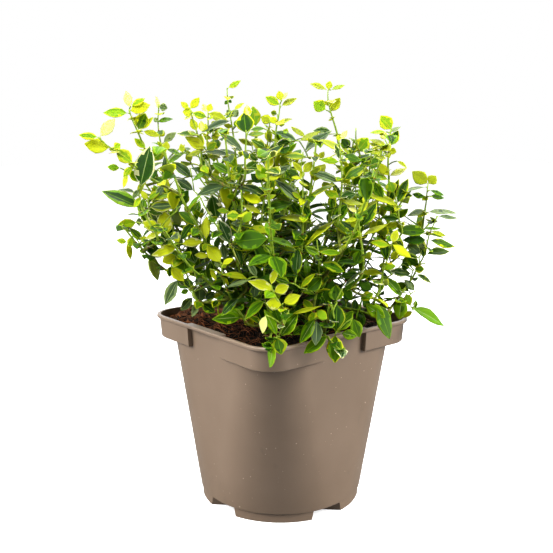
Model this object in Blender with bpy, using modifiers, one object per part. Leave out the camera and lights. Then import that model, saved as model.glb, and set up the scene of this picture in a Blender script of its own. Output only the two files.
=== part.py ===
"""A variegated wintercreeper in a square-topped nursery pot.

The pot stands on four feet with its underside at z = 0, its axis is the Z axis and its
sides face X and Y. The shrub grows from a short root crown in the middle of the potting
mix: bare lower stems fan out from it, and each carries one mass of twigs and leaves.
Lengths are metres and angles are degrees.
"""

import math
import random

import bmesh
import bpy
import numpy as np
from mathutils import Matrix, Vector

# Pot: lip, collar and body
POT_HEIGHT = 0.162
LIP_HALF_SIDE = 0.085
LIP_CORNER = 0.020
LIP_THICKNESS = 0.003
LIP_BEVEL = 0.001
COLLAR_HEIGHT = 0.020
COLLAR_HALF_SIDE = 0.0830
COLLAR_CORNER = 0.0185
COLLAR_TAPER = 0.0012
BODY_TOP_HALF_SIDE = 0.0785
BODY_TOP_CORNER = 0.0365
BODY_BASE_RADIUS = 0.0705
BODY_BASE_FLAT = 0.002
WALL = 0.0016
FLOOR_THICKNESS = 0.0022
RECESS_WIDTH = 0.046
RECESS_REACH = 0.030
CORNER_STEPS = 6

# Pot: feet and drain holes
FOOT_HEIGHT = 0.0075
FOOT_OUTER_RADIUS = 0.0690
FOOT_INNER_RADIUS = 0.0540
FOOT_SPREAD = 61.0
FOOT_CHAMFER = 0.0025
FOOT_DRAFT = 0.0008
FOOT_ROOT = 0.0012
DRAIN_RADIUS = 0.0055
DRAIN_CIRCLE = 0.0430
DRAIN_SIDES = 12

# How far a cutter runs past what it cuts
CUTTER_SPARE = 0.005

# Potting mix; the mound's sections are rise over the level, half side and corner radius
MIX_LEVEL = 0.1500
MOUND_TOP = 0.1545
MOUND_SECTIONS = ((-0.0010, 0.068, 0.030), (0.0025, 0.048, 0.030), (0.0045, 0.024, 0.020))

# Clear gap between pieces that touch on the real plant
GAP = 0.0003

# Root crown, a turned stub that the stems leave from
CROWN_NECK_RADIUS = 0.0085
CROWN_FLARE_RADIUS = 0.0150
CROWN_SIDES = 24
DOME_RADIUS = 0.0125
DOME_CENTRE = 0.1665
DOME_STEPS = 5

# Bare stems, the shoots that carry on from them, and side twigs
STEM_SHARE = 0.24
STEM_FOOT_RADIUS = 0.0018
STEM_TIP_RADIUS = 0.0015
STEM_SIDES = 6
SHOOT_FOOT_RADIUS = 0.0015
SHOOT_TIP_RADIUS = 0.0009
TWIG_FOOT_RADIUS = 0.0011
TWIG_TIP_RADIUS = 0.0007
TWIG_SIDES = 3
PATH_STEP = 0.022
BEND_WOBBLE = 5.0

# Where leaves and twigs sit, in lengths of the bare stretch between two pairs of leaves
INTERNODE = 0.025
INTERNODE_DRAW = (0.9, 1.1)
FIRST_SHOOT_LEAVES = 0.55
FIRST_TWIG_LEAVES = 0.75
LAST_LEAVES = 0.4
TWIG_SPACING = 1.35
TWIG_LENGTH_DRAW = (1.4, 2.1)

# How a twig leaves its shoot: its sunk root, its lean, the share of its tilt left at the
# tip, how much shorter it is near the shoot's tip, and the turn from one twig to the next
TWIG_ROOT = 0.0009
TWIG_LEAN = 48.0
TWIG_TILT_LEFT = 0.75
TWIG_SHORTER = 0.3
TWIG_TURN = 137.5
TWIG_TRIES = 5

# Leaves: half of a leaf's widest chord, the place of that chord, its thickness and its
# fold are shares of its length
LEAF_LENGTH = 0.035
LEAF_LENGTH_DRAW = (0.86, 1.12)
LEAF_HALF_WIDTH = 0.29
LEAF_WIDEST = 0.45
LEAF_THICKNESS = 0.028
LEAF_FOLD = 0.10
LEAF_SPREAD = 58.0
LEAF_SPREAD_JITTER = 12.0
LEAF_SWINGS = (0.0, 28.0, -28.0, 55.0, -55.0)
PAIR_TURN_JITTER = 10.0
LEAF_SHORTER = 0.15
TWIG_LEAF_SCALE = 0.88
TIP_LEAF_SCALE = 0.72

# The plant's broad side faces one corner of the pot, so bearings are turned by this much.
# Bearing 0 is then to the right of that side, and 90 is behind it.
PLANT_TURN = -39.8

# Each ring of shoots: name, bearings, lean from the vertical at the foot and at the tip,
# length from the root crown to the last leaves, and how much longer the far side's are
RINGS = (
    ("heart", (90.0,), 9.0, 3.0, 0.157, 0.0),
    ("upper", (12.0, 84.0, 156.0, 228.0, 300.0), 36.0, 3.0, 0.170, 0.0),
    ("outer", (40.0, 85.0, 130.0, 175.0, 220.0, 265.0, 310.0, 355.0), 60.0, 15.0, 0.190, 0.12),
    ("lower", (15.0, 55.0, 104.0, 160.0, 200.0, 236.0), 80.0, 36.0, 0.151, -0.04),
    ("skirt", (90.0, 268.0, 295.0, 333.0), 82.0, 102.0, 0.111, 0.0),
)
FAR_SIDE_BEARING = 175.0
FAR_SIDE_FOCUS = 5
BEARING_JITTER = 4.0
LEAN_JITTER = 2.0
LENGTH_JITTER = 0.06
SEED = 1042
SEEDS_PER_SHOOT = 100

# Room that a mass keeps to its neighbours, to bare stems and to the pot
SPACE_MARGIN = 0.0012
STEM_CLEARANCE = 0.0022
POT_CLEARANCE = 0.0018
LEAF_SAMPLES = 4
TWIG_SAMPLE_SPACING = 0.004

# Mesh tolerances
MESH_WELD = 0.00001
TINY = 1e-6

UP = Vector((0.0, 0.0, 1.0))


def new_collection(name):
    collection = bpy.data.collections.new(name)
    bpy.context.scene.collection.children.link(collection)
    return collection


def plain_material(name, colour, roughness):
    material = bpy.data.materials.new(name)
    material.use_nodes = True
    shader = material.node_tree.nodes["Principled BSDF"]
    shader.inputs["Base Color"].default_value = (*colour, 1.0)
    shader.inputs["Roughness"].default_value = roughness
    shader.inputs["Metallic"].default_value = 0.0
    return material


def place_mesh(name, mesh, collection):
    thing = bpy.data.objects.new(name, mesh)
    collection.objects.link(thing)
    return thing


def mesh_object(name, points, faces, collection):
    mesh = bpy.data.meshes.new(name)
    mesh.from_pydata([tuple(point) for point in points], [], faces)
    mesh.update()
    return place_mesh(name, mesh, collection)


def make_guide(thing):
    """Keep a cutter or a profile out of the model itself."""
    thing.hide_render = True
    thing.display_type = "WIRE"


def discard(things):
    for thing in list(things):
        bpy.data.objects.remove(thing, do_unlink=True)


def evaluated_mesh(thing):
    """The mesh that an object's modifiers or bevel make of it."""
    bpy.context.view_layer.update()
    depsgraph = bpy.context.evaluated_depsgraph_get()
    return bpy.data.meshes.new_from_object(thing.evaluated_get(depsgraph))


def boolean(target, operation, operand, solver="EXACT"):
    """Apply one Boolean of an object, or of a whole collection, to the target."""
    modifier = target.modifiers.new(operation.title(), "BOOLEAN")
    modifier.operation = operation
    modifier.solver = solver
    if isinstance(operand, bpy.types.Collection):
        modifier.operand_type = "COLLECTION"
        modifier.collection = operand
    else:
        modifier.object = operand
    joined = evaluated_mesh(target)
    old = target.data
    target.modifiers.clear()
    target.data = joined
    bpy.data.meshes.remove(old)


def rounded_square(half_side, radius):
    """The outline of a square with round corners, counter-clockwise."""
    outline = []
    for corner in range(4):
        turn = math.pi / 2 * corner
        centre = Matrix.Rotation(turn, 2) @ Vector((half_side - radius, half_side - radius))
        for step in range(CORNER_STEPS + 1):
            angle = turn + math.pi / 2 * step / CORNER_STEPS
            outline.append(centre + radius * Vector((math.cos(angle), math.sin(angle))))
    return outline


def loft(name, sections, collection):
    """A closed solid through outlines of equal point counts, each given with its height."""
    count = len(sections[0][1])
    points = [(p.x, p.y, height) for height, outline in sections for p in outline]
    faces = [tuple(reversed(range(count)))]
    for level in range(len(sections) - 1):
        low = level * count
        for i in range(count):
            j = (i + 1) % count
            faces.append((low + i, low + j, low + count + j, low + count + i))
    top = (len(sections) - 1) * count
    faces.append(tuple(range(top, top + count)))
    return mesh_object(name, points, faces, collection)


def box(name, centre, size, collection):
    """A box made from a unit cube."""
    mesh = bpy.data.meshes.new(name)
    cube = bmesh.new()
    placing = Matrix.Translation(centre) @ Matrix.Diagonal((*size, 1.0))
    bmesh.ops.create_cube(cube, size=1.0, matrix=placing)
    cube.to_mesh(mesh)
    cube.free()
    return place_mesh(name, mesh, collection)


def body_section(height, inset):
    """The body's outline at a height: nearly round at the base, a rounded square at the top."""
    share = (height - FOOT_HEIGHT) / (POT_HEIGHT - FOOT_HEIGHT)
    half_side = BODY_BASE_RADIUS + (BODY_TOP_HALF_SIDE - BODY_BASE_RADIUS) * share
    corner = BODY_BASE_RADIUS - BODY_BASE_FLAT
    corner += (BODY_TOP_CORNER - corner) * share
    return height, rounded_square(half_side - inset, corner - inset)


def collar_section(height, inset):
    """The collar's outline at a height, a little narrower at its lower edge."""
    share = (POT_HEIGHT - height) / COLLAR_HEIGHT
    half_side = COLLAR_HALF_SIDE - COLLAR_TAPER * share
    return height, rounded_square(half_side - inset, COLLAR_CORNER - inset)


def recess_cutters(widen, top, collection):
    """One box at the middle of each side, where the collar is interrupted."""
    cutters = []
    low = POT_HEIGHT - COLLAR_HEIGHT - CUTTER_SPARE
    for side in range(4):
        centre = Vector((COLLAR_HALF_SIDE, 0.0, (low + top) / 2))
        size = (RECESS_REACH, RECESS_WIDTH + 2 * widen, top - low)
        cutter = box("recess", centre, size, collection)
        cutter.data.transform(Matrix.Rotation(math.pi / 2 * side, 4, "Z"))
        make_guide(cutter)
        cutters.append(cutter)
    return cutters


def recessed_collar(name, low, top, inset, widen, cutters):
    """The collar as a block with its four mid-side recesses cut out."""
    block = loft(name, [collar_section(low, inset), collar_section(top, inset)], cutters)
    for cutter in recess_cutters(widen, top + CUTTER_SPARE, cutters):
        boolean(block, "DIFFERENCE", cutter)
        discard([cutter])
    return block


def make_lip(cutters):
    """The thin flat rim that runs straight over the recesses, with both edges eased."""
    lip_low = POT_HEIGHT - LIP_THICKNESS
    eased = rounded_square(LIP_HALF_SIDE - LIP_BEVEL, LIP_CORNER - LIP_BEVEL)
    full = rounded_square(LIP_HALF_SIDE, LIP_CORNER)
    heights = (lip_low, lip_low + LIP_BEVEL, POT_HEIGHT - LIP_BEVEL, POT_HEIGHT)
    return loft("lip", list(zip(heights, (eased, full, full, eased))), cutters)


def foot_outline(spread, outer, inner):
    """A stretch of a ring, counter-clockwise, with its middle on the X axis."""
    half = math.radians(spread) / 2
    angles = [-half + 2 * half * step / CORNER_STEPS for step in range(CORNER_STEPS + 1)]
    outside = [Vector((outer * math.cos(a), outer * math.sin(a))) for a in angles]
    inside = [Vector((inner * math.cos(a), inner * math.sin(a))) for a in reversed(angles)]
    return outside + inside


def make_feet(cutters):
    """Four arc-shaped feet under the pot's corners, chamfered at their lower edges."""
    narrow = FOOT_SPREAD - 2 * math.degrees(FOOT_CHAMFER / FOOT_OUTER_RADIUS)
    chamfered = foot_outline(narrow, FOOT_OUTER_RADIUS - FOOT_DRAFT, FOOT_INNER_RADIUS)
    full = foot_outline(FOOT_SPREAD, FOOT_OUTER_RADIUS, FOOT_INNER_RADIUS)
    sections = [(0.0, chamfered), (FOOT_CHAMFER, full), (FOOT_HEIGHT + FOOT_ROOT, full)]
    feet = []
    for corner in range(4):
        foot = loft("foot", sections, cutters)
        foot.data.transform(Matrix.Rotation(math.radians(45 + 90 * corner), 4, "Z"))
        feet.append(foot)
    return feet


def make_drains(cutters):
    """Cutters for one hole in the middle of the floor and one beside each gap in the feet."""
    places = [Vector((0.0, 0.0, FOOT_HEIGHT))]
    for side in range(4):
        angle = math.pi / 2 * side
        places.append(Vector((DRAIN_CIRCLE * math.cos(angle), DRAIN_CIRCLE * math.sin(angle), FOOT_HEIGHT)))
    drains = []
    for place in places:
        mesh = bpy.data.meshes.new("drain")
        drill = bmesh.new()
        bmesh.ops.create_cone(
            drill,
            cap_ends=True,
            segments=DRAIN_SIDES,
            radius1=DRAIN_RADIUS,
            radius2=DRAIN_RADIUS,
            depth=4 * FLOOR_THICKNESS,
            matrix=Matrix.Translation(place),
        )
        drill.to_mesh(mesh)
        drill.free()
        drain = place_mesh("drain", mesh, cutters)
        make_guide(drain)
        drains.append(drain)
    return drains


def make_pot(parts, cutters):
    """The thin pot: body, recessed collar, lip and feet joined, then hollowed and drained."""
    collar_low = POT_HEIGHT - COLLAR_HEIGHT
    body = [body_section(height, 0.0) for height in (FOOT_HEIGHT, collar_low, POT_HEIGHT)]
    pot = loft("pot", body, parts)
    collar_top = POT_HEIGHT - LIP_THICKNESS / 2
    collar = recessed_collar("collar", collar_low, collar_top, 0.0, 0.0, cutters)
    added = [collar, make_lip(cutters), *make_feet(cutters)]
    for piece in added:
        boolean(pot, "UNION", piece)
    discard(added)
    above = POT_HEIGHT + CUTTER_SPARE
    floor = FOOT_HEIGHT + FLOOR_THICKNESS
    hollow = loft("hollow", [body_section(floor, WALL), body_section(above, WALL)], cutters)
    hollow_collar = recessed_collar("hollow_collar", collar_low + WALL, above, WALL, WALL, cutters)
    removed = [hollow, hollow_collar, *make_drains(cutters)]
    for piece in removed:
        boolean(pot, "DIFFERENCE", piece)
    discard(removed)
    pot.data.materials.clear()
    pot.data.materials.append(plain_material("pot_plastic", (0.21, 0.155, 0.115), 0.45))


def make_potting_mix(parts, cutters):
    """The filled inside of the pot, a hair clear of its walls, with a low mound on top."""
    inset = WALL + GAP
    floor = FOOT_HEIGHT + FLOOR_THICKNESS + GAP
    mix = loft("potting_mix", [body_section(floor, inset), body_section(MIX_LEVEL, inset)], parts)
    shelf = POT_HEIGHT - COLLAR_HEIGHT + WALL + GAP
    shoulder = recessed_collar("shoulder", shelf, MIX_LEVEL, inset, inset, cutters)
    rings = [(MIX_LEVEL + rise, rounded_square(half, corner)) for rise, half, corner in MOUND_SECTIONS]
    added = [shoulder, loft("mound", rings, cutters)]
    for piece in added:
        boolean(mix, "UNION", piece)
    discard(added)
    mix.data.materials.clear()
    mix.data.materials.append(plain_material("potting_mix", (0.045, 0.022, 0.012), 0.95))


def make_root_crown(parts):
    """The short turned stub: a dome that the stems leave, a neck, and a flare on the mix."""
    foot = MOUND_TOP + GAP
    neck_angle = -math.acos(CROWN_NECK_RADIUS / DOME_RADIUS)
    profile = []
    for step in range(DOME_STEPS + 1):
        angle = math.pi / 2 + (neck_angle - math.pi / 2) * step / DOME_STEPS
        profile.append((DOME_RADIUS * math.cos(angle), DOME_CENTRE + DOME_RADIUS * math.sin(angle)))
    profile[0] = (0.0, DOME_CENTRE + DOME_RADIUS)
    profile.append((CROWN_FLARE_RADIUS, foot))
    profile.append((0.0, foot))
    mesh = bpy.data.meshes.new("root_crown")
    edges = [(i, i + 1) for i in range(len(profile) - 1)]
    mesh.from_pydata([(radius, 0.0, height) for radius, height in profile], edges, [])
    crown = place_mesh("root_crown", mesh, parts)
    screw = crown.modifiers.new("Turn", "SCREW")
    screw.steps = CROWN_SIDES
    screw.render_steps = CROWN_SIDES
    screw.use_merge_vertices = True
    screw.merge_threshold = MESH_WELD
    mesh.materials.append(plain_material("root_bark", (0.13, 0.075, 0.04), 0.85))


def direction(bearing, lean):
    """A unit vector at a bearing round the plant and a lean from the vertical."""
    around = math.radians(bearing + PLANT_TURN)
    tilt = math.radians(lean)
    flat = math.sin(tilt)
    return Vector((flat * math.cos(around), flat * math.sin(around), math.cos(tilt)))


def bearing_of(vector):
    return math.degrees(math.atan2(vector.y, vector.x)) - PLANT_TURN


def lean_of(vector):
    return math.degrees(vector.angle(UP))


def grow_path(start, bearing, foot_lean, tip_lean, length, rule):
    """The points of a shoot that leans out less, or more, towards its tip."""
    steps = max(2, round(length / PATH_STEP))
    points = [Vector(start)]
    for step in range(steps):
        share = (step + 0.5) / steps
        lean = foot_lean + (tip_lean - foot_lean) * share + rule.uniform(-BEND_WOBBLE, BEND_WOBBLE)
        sway = rule.uniform(-BEND_WOBBLE, BEND_WOBBLE)
        points.append(points[-1] + direction(bearing + sway, lean) * (length / steps))
    return points


def plan_shoots(rule):
    """The named path of every shoot, ring by ring, from the root crown's dome to its tip."""
    centre = Vector((0.0, 0.0, DOME_CENTRE))
    shoots = []
    for ring, bearings, foot_lean, tip_lean, length, far_side_gain in RINGS:
        for number, ring_bearing in enumerate(bearings, start=1):
            bearing = ring_bearing + rule.uniform(-BEARING_JITTER, BEARING_JITTER)
            lean = foot_lean + rule.uniform(-LEAN_JITTER, LEAN_JITTER)
            farness = math.cos(math.radians(bearing - FAR_SIDE_BEARING)) ** FAR_SIDE_FOCUS
            reach = length * (1.0 + far_side_gain * farness)
            reach *= 1.0 + rule.uniform(-LENGTH_JITTER, LENGTH_JITTER)
            outward = direction(bearing, lean)
            start = centre + outward * (DOME_RADIUS + GAP)
            path = grow_path(start, bearing, lean, tip_lean, reach, rule)
            straight = outward * (path[1] - path[0]).length - (path[1] - path[0])
            path[1:] = [point + straight for point in path[1:]]
            shoots.append((f"{ring}_{number}", path))
    return shoots


def path_length(path):
    return sum((b - a).length for a, b in zip(path, path[1:]))


def point_along(path, distance):
    """The place and heading at a distance along a path."""
    for a, b in zip(path, path[1:]):
        step = (b - a).length
        if distance <= step:
            return a + (b - a) * (distance / step), (b - a).normalized()
        distance -= step
    return path[-1].copy(), (path[-1] - path[-2]).normalized()


def sub_path(path, start, end):
    """The stretch of a path between two distances along it."""
    kept = [point_along(path, start)[0]]
    walked = 0.0
    for a, b in zip(path, path[1:]):
        walked += (b - a).length
        if start + PATH_STEP / 3 < walked < end - PATH_STEP / 3:
            kept.append(b.copy())
    kept.append(point_along(path, end)[0])
    return kept


def path_samples(path, spacing):
    """Places spread along a path, its far end among them."""
    count = max(2, round(path_length(path) / spacing))
    return [point_along(path, path_length(path) * step / count)[0] for step in range(1, count + 1)]


def side_axes(heading):
    """Two unit vectors square to a heading and to each other, the first as upright as can be."""
    first = UP - heading * UP.dot(heading)
    if first.length < TINY:
        first = heading.orthogonal()
    first.normalize()
    return first, heading.cross(first).normalized()


def outward_at(heading, turn):
    """A unit vector square to a heading, turned round it."""
    first, second = side_axes(heading)
    angle = math.radians(turn)
    return math.cos(angle) * first + math.sin(angle) * second


def make_profile(name, sides, cutters):
    """The flat-sided outline, one unit in radius, that a limb's section follows."""
    curve = bpy.data.curves.new(name, "CURVE")
    spline = curve.splines.new("POLY")
    spline.points.add(sides - 1)
    spline.use_cyclic_u = True
    for side, point in enumerate(spline.points):
        angle = 2 * math.pi * side / sides
        point.co = (math.cos(angle), math.sin(angle), 0.0, 1.0)
    profile = place_mesh(name, curve, cutters)
    make_guide(profile)
    return profile


def limb(name, path, foot_radius, tip_radius, profile, collection):
    """A limb that tapers along a path, made as a bevelled curve and closed into one mesh."""
    curve = bpy.data.curves.new(name, "CURVE")
    curve.dimensions = "3D"
    curve.bevel_mode = "OBJECT"
    curve.bevel_object = profile
    curve.use_fill_caps = True
    spline = curve.splines.new("POLY")
    spline.points.add(len(path) - 1)
    for step, (point, place) in enumerate(zip(spline.points, path)):
        point.co = (*place, 1.0)
        point.radius = foot_radius + (tip_radius - foot_radius) * step / (len(path) - 1)
    guide = place_mesh(name, curve, collection)
    mesh = evaluated_mesh(guide)
    discard([guide])
    bpy.data.curves.remove(curve)
    solid = bmesh.new()
    solid.from_mesh(mesh)
    bmesh.ops.remove_doubles(solid, verts=solid.verts, dist=MESH_WELD)
    bmesh.ops.recalc_face_normals(solid, faces=solid.faces)
    solid.to_mesh(mesh)
    solid.free()
    return place_mesh(name, mesh, collection)


def leaf_points(root, heading, up, length):
    """A leaf's root, left, tip and right corners, and its midrib's upper and lower middles."""
    across = heading.cross(up).normalized()
    top = across.cross(heading).normalized()
    middle = root + heading * (length * LEAF_WIDEST)
    half = length * LEAF_HALF_WIDTH
    raised = top * (length * LEAF_FOLD)
    left = middle - across * half + raised
    right = middle + across * half + raised
    thick = top * (length * LEAF_THICKNESS / 2)
    return [root, left, root + heading * length, right, middle + thick, middle - thick]


def leaf_object(points, collection):
    """A folded leaf: four faces over its midrib and four under it."""
    faces = [(0, 4, 1), (1, 4, 2), (2, 4, 3), (3, 4, 0), (1, 5, 0), (2, 5, 1), (3, 5, 2), (0, 5, 3)]
    thing = mesh_object("leaf", points, faces, collection)
    volume = bmesh.new()
    volume.from_mesh(thing.data)
    bmesh.ops.recalc_face_normals(volume, faces=volume.faces)
    volume.to_mesh(thing.data)
    volume.free()


def leaf_samples(points):
    """A spread of places over both halves of a leaf."""
    root, left, tip, right = points[:4]
    middle = (points[4] + points[5]) / 2
    samples = []
    for a, b, c in ((root, left, middle), (left, tip, middle), (tip, right, middle), (right, root, middle)):
        for i in range(LEAF_SAMPLES + 1):
            for j in range(LEAF_SAMPLES + 1 - i):
                u = i / LEAF_SAMPLES
                v = j / LEAF_SAMPLES
                samples.append(a * u + b * v + c * (1 - u - v))
    return samples


class Space:
    """What a mass may fill: nearer its own shoot than any other, clear of stems and pot."""

    def __init__(self, shoots, stems):
        self.shoots = [self.segments(path) for path in shoots]
        self.stems = [self.segments(path) for path in stems]

    @staticmethod
    def segments(path):
        points = np.array([tuple(point) for point in path])
        return points[:-1], points[1:] - points[:-1]

    @staticmethod
    def distance(places, segments):
        starts, spans = segments
        offset = places[:, None, :] - starts[None, :, :]
        along = (offset * spans).sum(2) / (spans * spans).sum(1)
        along = np.clip(along, 0.0, 1.0)[:, :, None]
        return np.linalg.norm(offset - along * spans, axis=2).min(1)

    def allows(self, number, samples):
        places = np.array([tuple(point) for point in samples])
        own = self.distance(places, self.shoots[number])
        for other, segments in enumerate(self.shoots):
            if other != number and (self.distance(places, segments) < own + SPACE_MARGIN).any():
                return False
        reach = STEM_FOOT_RADIUS + STEM_CLEARANCE
        if any((self.distance(places, segments) < reach).any() for segments in self.stems):
            return False
        beside = np.abs(places[:, :2]).max(1) < LIP_HALF_SIDE + POT_CLEARANCE
        below = places[:, 2] < POT_HEIGHT + POT_CLEARANCE
        return not (beside & below).any()


class Mass:
    """One mass of foliage: its shoot, its twigs and their leaves, fused into one solid."""

    def __init__(self, number, path, space, profile, work):
        self.number = number
        self.path = path
        self.space = space
        self.profile = profile
        self.work = work
        self.rule = random.Random(SEED * SEEDS_PER_SHOOT + number)
        self.leaves = 0

    def add_pair(self, place, heading, turn, length):
        """Two leaves across from each other, each swung round its shoot, or skipped, to fit."""
        for side in (0.0, 180.0):
            size = length * self.rule.uniform(*LEAF_LENGTH_DRAW)
            spread = math.radians(LEAF_SPREAD + self.rule.uniform(-LEAF_SPREAD_JITTER, LEAF_SPREAD_JITTER))
            for swing in LEAF_SWINGS:
                outward = outward_at(heading, turn + side + swing)
                towards = math.sin(spread) * outward + math.cos(spread) * heading
                up = heading - towards * heading.dot(towards)
                points = leaf_points(place, towards, up.normalized(), size)
                if self.space.allows(self.number, leaf_samples(points)):
                    leaf_object(points, self.work)
                    self.leaves += 1
                    break

    def add_leaves(self, path, first, scale):
        """Pairs of leaves along a path, each pair square to the last, and one at the tip."""
        total = path_length(path)
        turn = self.rule.uniform(0.0, 90.0)
        distance = INTERNODE * first
        while distance < total - INTERNODE * LAST_LEAVES:
            place, heading = point_along(path, distance)
            size = LEAF_LENGTH * scale * (1.0 - LEAF_SHORTER * distance / total)
            self.add_pair(place, heading, turn, size)
            distance += INTERNODE * self.rule.uniform(*INTERNODE_DRAW)
            turn += 90.0 + self.rule.uniform(-PAIR_TURN_JITTER, PAIR_TURN_JITTER)
        place, heading = point_along(path, total - TWIG_TIP_RADIUS)
        self.add_pair(place, heading, turn, LEAF_LENGTH * TIP_LEAF_SCALE)

    def add_twig(self, distance, side):
        """A side twig with its leaves, at the first of a few turns where it fits."""
        place, heading = point_along(self.path, distance)
        lean = math.radians(TWIG_LEAN)
        shorter = 1.0 - TWIG_SHORTER * distance / path_length(self.path)
        for attempt in range(TWIG_TRIES):
            outward = outward_at(heading, side + 360.0 / TWIG_TRIES * attempt)
            start = math.sin(lean) * outward + math.cos(lean) * heading
            tilt = lean_of(start)
            length = INTERNODE * self.rule.uniform(*TWIG_LENGTH_DRAW) * shorter
            root = place - start * TWIG_ROOT
            twig = grow_path(root, bearing_of(start), tilt, tilt * TWIG_TILT_LEFT, length, self.rule)
            if self.space.allows(self.number, path_samples(twig, TWIG_SAMPLE_SPACING)):
                limb("twig", twig, TWIG_FOOT_RADIUS, TWIG_TIP_RADIUS, self.profile, self.work)
                self.add_leaves(twig, FIRST_TWIG_LEAVES, TWIG_LEAF_SCALE)
                break

    def grow(self, name, parts, material):
        """Leaves on the shoot, then twigs at every few nodes, then the union of them all."""
        solid = limb(name, self.path, SHOOT_FOOT_RADIUS, SHOOT_TIP_RADIUS, self.profile, parts)
        self.add_leaves(self.path, FIRST_SHOOT_LEAVES, 1.0)
        side = self.rule.uniform(0.0, 360.0)
        distance = INTERNODE
        while distance < path_length(self.path) - INTERNODE:
            self.add_twig(distance, side)
            distance += INTERNODE * TWIG_SPACING
            side += TWIG_TURN
        boolean(solid, "UNION", self.work, "MANIFOLD")
        discard(self.work.objects)
        keep_largest_shell(solid)
        solid.data.materials.clear()
        solid.data.materials.append(material)


def keep_largest_shell(thing):
    """Drop loose scraps, and hollows that fusing sealed, from a joined mass."""
    solid = bmesh.new()
    solid.from_mesh(thing.data)
    waiting = set(solid.faces)
    shells = []
    while waiting:
        shell = set()
        reached = [waiting.pop()]
        while reached:
            face = reached.pop()
            shell.add(face)
            for edge in face.edges:
                for other in edge.link_faces:
                    if other in waiting:
                        waiting.remove(other)
                        reached.append(other)
        shells.append(shell)
    largest = max(shells, key=len)
    loose = [face for shell in shells if shell is not largest for face in shell]
    bmesh.ops.delete(solid, geom=loose, context="FACES")
    solid.to_mesh(thing.data)
    solid.free()


def make_shrub(parts, cutters, work):
    """A bare stem and a mass of foliage for every planned shoot."""
    bark = plain_material("stem_bark", (0.16, 0.13, 0.06), 0.75)
    stem_profile = make_profile("stem_profile", STEM_SIDES, cutters)
    twig_profile = make_profile("twig_profile", TWIG_SIDES, cutters)
    shoots = plan_shoots(random.Random(SEED))
    stems = []
    tops = []
    for name, path in shoots:
        total = path_length(path)
        stems.append(sub_path(path, 0.0, total * STEM_SHARE))
        tops.append(sub_path(path, total * STEM_SHARE + GAP, total))
    for (name, path), stem in zip(shoots, stems):
        bough = limb(f"stem_{name}", stem, STEM_FOOT_RADIUS, STEM_TIP_RADIUS, stem_profile, parts)
        bough.data.materials.append(bark)
    space = Space(tops, stems)
    for number, ((name, path), top) in enumerate(zip(shoots, tops)):
        mass = Mass(number, top, space, twig_profile, work)
        mass.grow(f"foliage_{name}", parts, plain_material(f"leaves_{name}", (0.14, 0.26, 0.04), 0.5))
        print(f"foliage_{name}: {mass.leaves} leaves")


def build():
    discard(bpy.data.objects)
    parts = new_collection("potted_wintercreeper")
    cutters = new_collection("cutters")
    work = new_collection("twigs_and_leaves")
    make_pot(parts, cutters)
    make_potting_mix(parts, cutters)
    make_root_crown(parts)
    make_shrub(parts, cutters, work)


build()
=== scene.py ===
# %% [markdown]
# # A potted wintercreeper, dressed for its portrait
# The frame holds the plain solids of this plant: a nursery pot, its potting mix, a short
# root crown, bare lower stems, and one rough mass of twigs and leaves on each stem. This
# lesson keeps every piece in the place that the frame gives it and makes what the eye
# sees: smooth moulded plastic, fibrous mix, stems with bark and nodes, and well over a
# thousand leaves in their own outline, each with the green heart and gold margin that this
# shrub is grown for.

# %% Load the frame
import math
import random

import bmesh
import bpy
from mathutils import Matrix, Vector
from mathutils.bvhtree import BVHTree


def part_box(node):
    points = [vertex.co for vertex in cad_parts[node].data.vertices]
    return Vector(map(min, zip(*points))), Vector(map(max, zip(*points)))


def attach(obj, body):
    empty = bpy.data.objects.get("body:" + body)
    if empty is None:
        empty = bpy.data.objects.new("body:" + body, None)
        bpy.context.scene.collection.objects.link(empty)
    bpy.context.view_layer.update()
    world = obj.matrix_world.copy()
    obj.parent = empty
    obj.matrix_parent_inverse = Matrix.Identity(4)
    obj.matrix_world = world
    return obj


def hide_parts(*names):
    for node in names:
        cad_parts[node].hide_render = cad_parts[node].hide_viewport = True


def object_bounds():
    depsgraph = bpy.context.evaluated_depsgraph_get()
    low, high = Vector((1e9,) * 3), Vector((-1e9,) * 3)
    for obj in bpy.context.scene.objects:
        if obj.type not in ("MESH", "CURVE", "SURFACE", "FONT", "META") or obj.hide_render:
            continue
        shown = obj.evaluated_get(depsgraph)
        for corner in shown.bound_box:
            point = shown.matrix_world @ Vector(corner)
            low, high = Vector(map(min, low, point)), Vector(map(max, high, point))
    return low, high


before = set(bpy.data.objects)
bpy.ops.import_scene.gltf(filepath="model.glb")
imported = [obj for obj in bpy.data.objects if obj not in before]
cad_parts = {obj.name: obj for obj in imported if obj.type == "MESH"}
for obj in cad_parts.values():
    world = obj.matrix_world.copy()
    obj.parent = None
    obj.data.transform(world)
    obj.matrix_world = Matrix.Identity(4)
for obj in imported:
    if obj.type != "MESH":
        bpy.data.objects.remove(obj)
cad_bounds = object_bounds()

UP = Vector((0.0, 0.0, 1.0))
PLANT_TURN = -39.8
print("nodes in the frame:", len(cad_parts))
print("lowest and highest corner:", [tuple(round(v, 4) for v in corner) for corner in cad_bounds])

# %% [markdown]
# ## Materials
# Every finish is a Principled shader. Moulded plastic, bark and mix get their colour from
# noise that reads Object coordinates, so it stays where it is when the piece moves. The
# leaves are different: their colours have a place (heart, ring, margin and midrib), so each
# colour is a plain base colour of its own, and the faces of a leaf are dealt out among
# them. Only a fine bump is left to nodes there.

# %% A helper for finishes


def new_finish(name, colour, roughness):
    """A Principled material, with its node tree and shader for further wiring."""
    material = bpy.data.materials.new(name)
    material.use_nodes = True
    tree = material.node_tree
    shader = tree.nodes["Principled BSDF"]
    shader.inputs["Base Color"].default_value = (*colour, 1.0)
    shader.inputs["Roughness"].default_value = roughness
    return material, tree, shader


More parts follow.
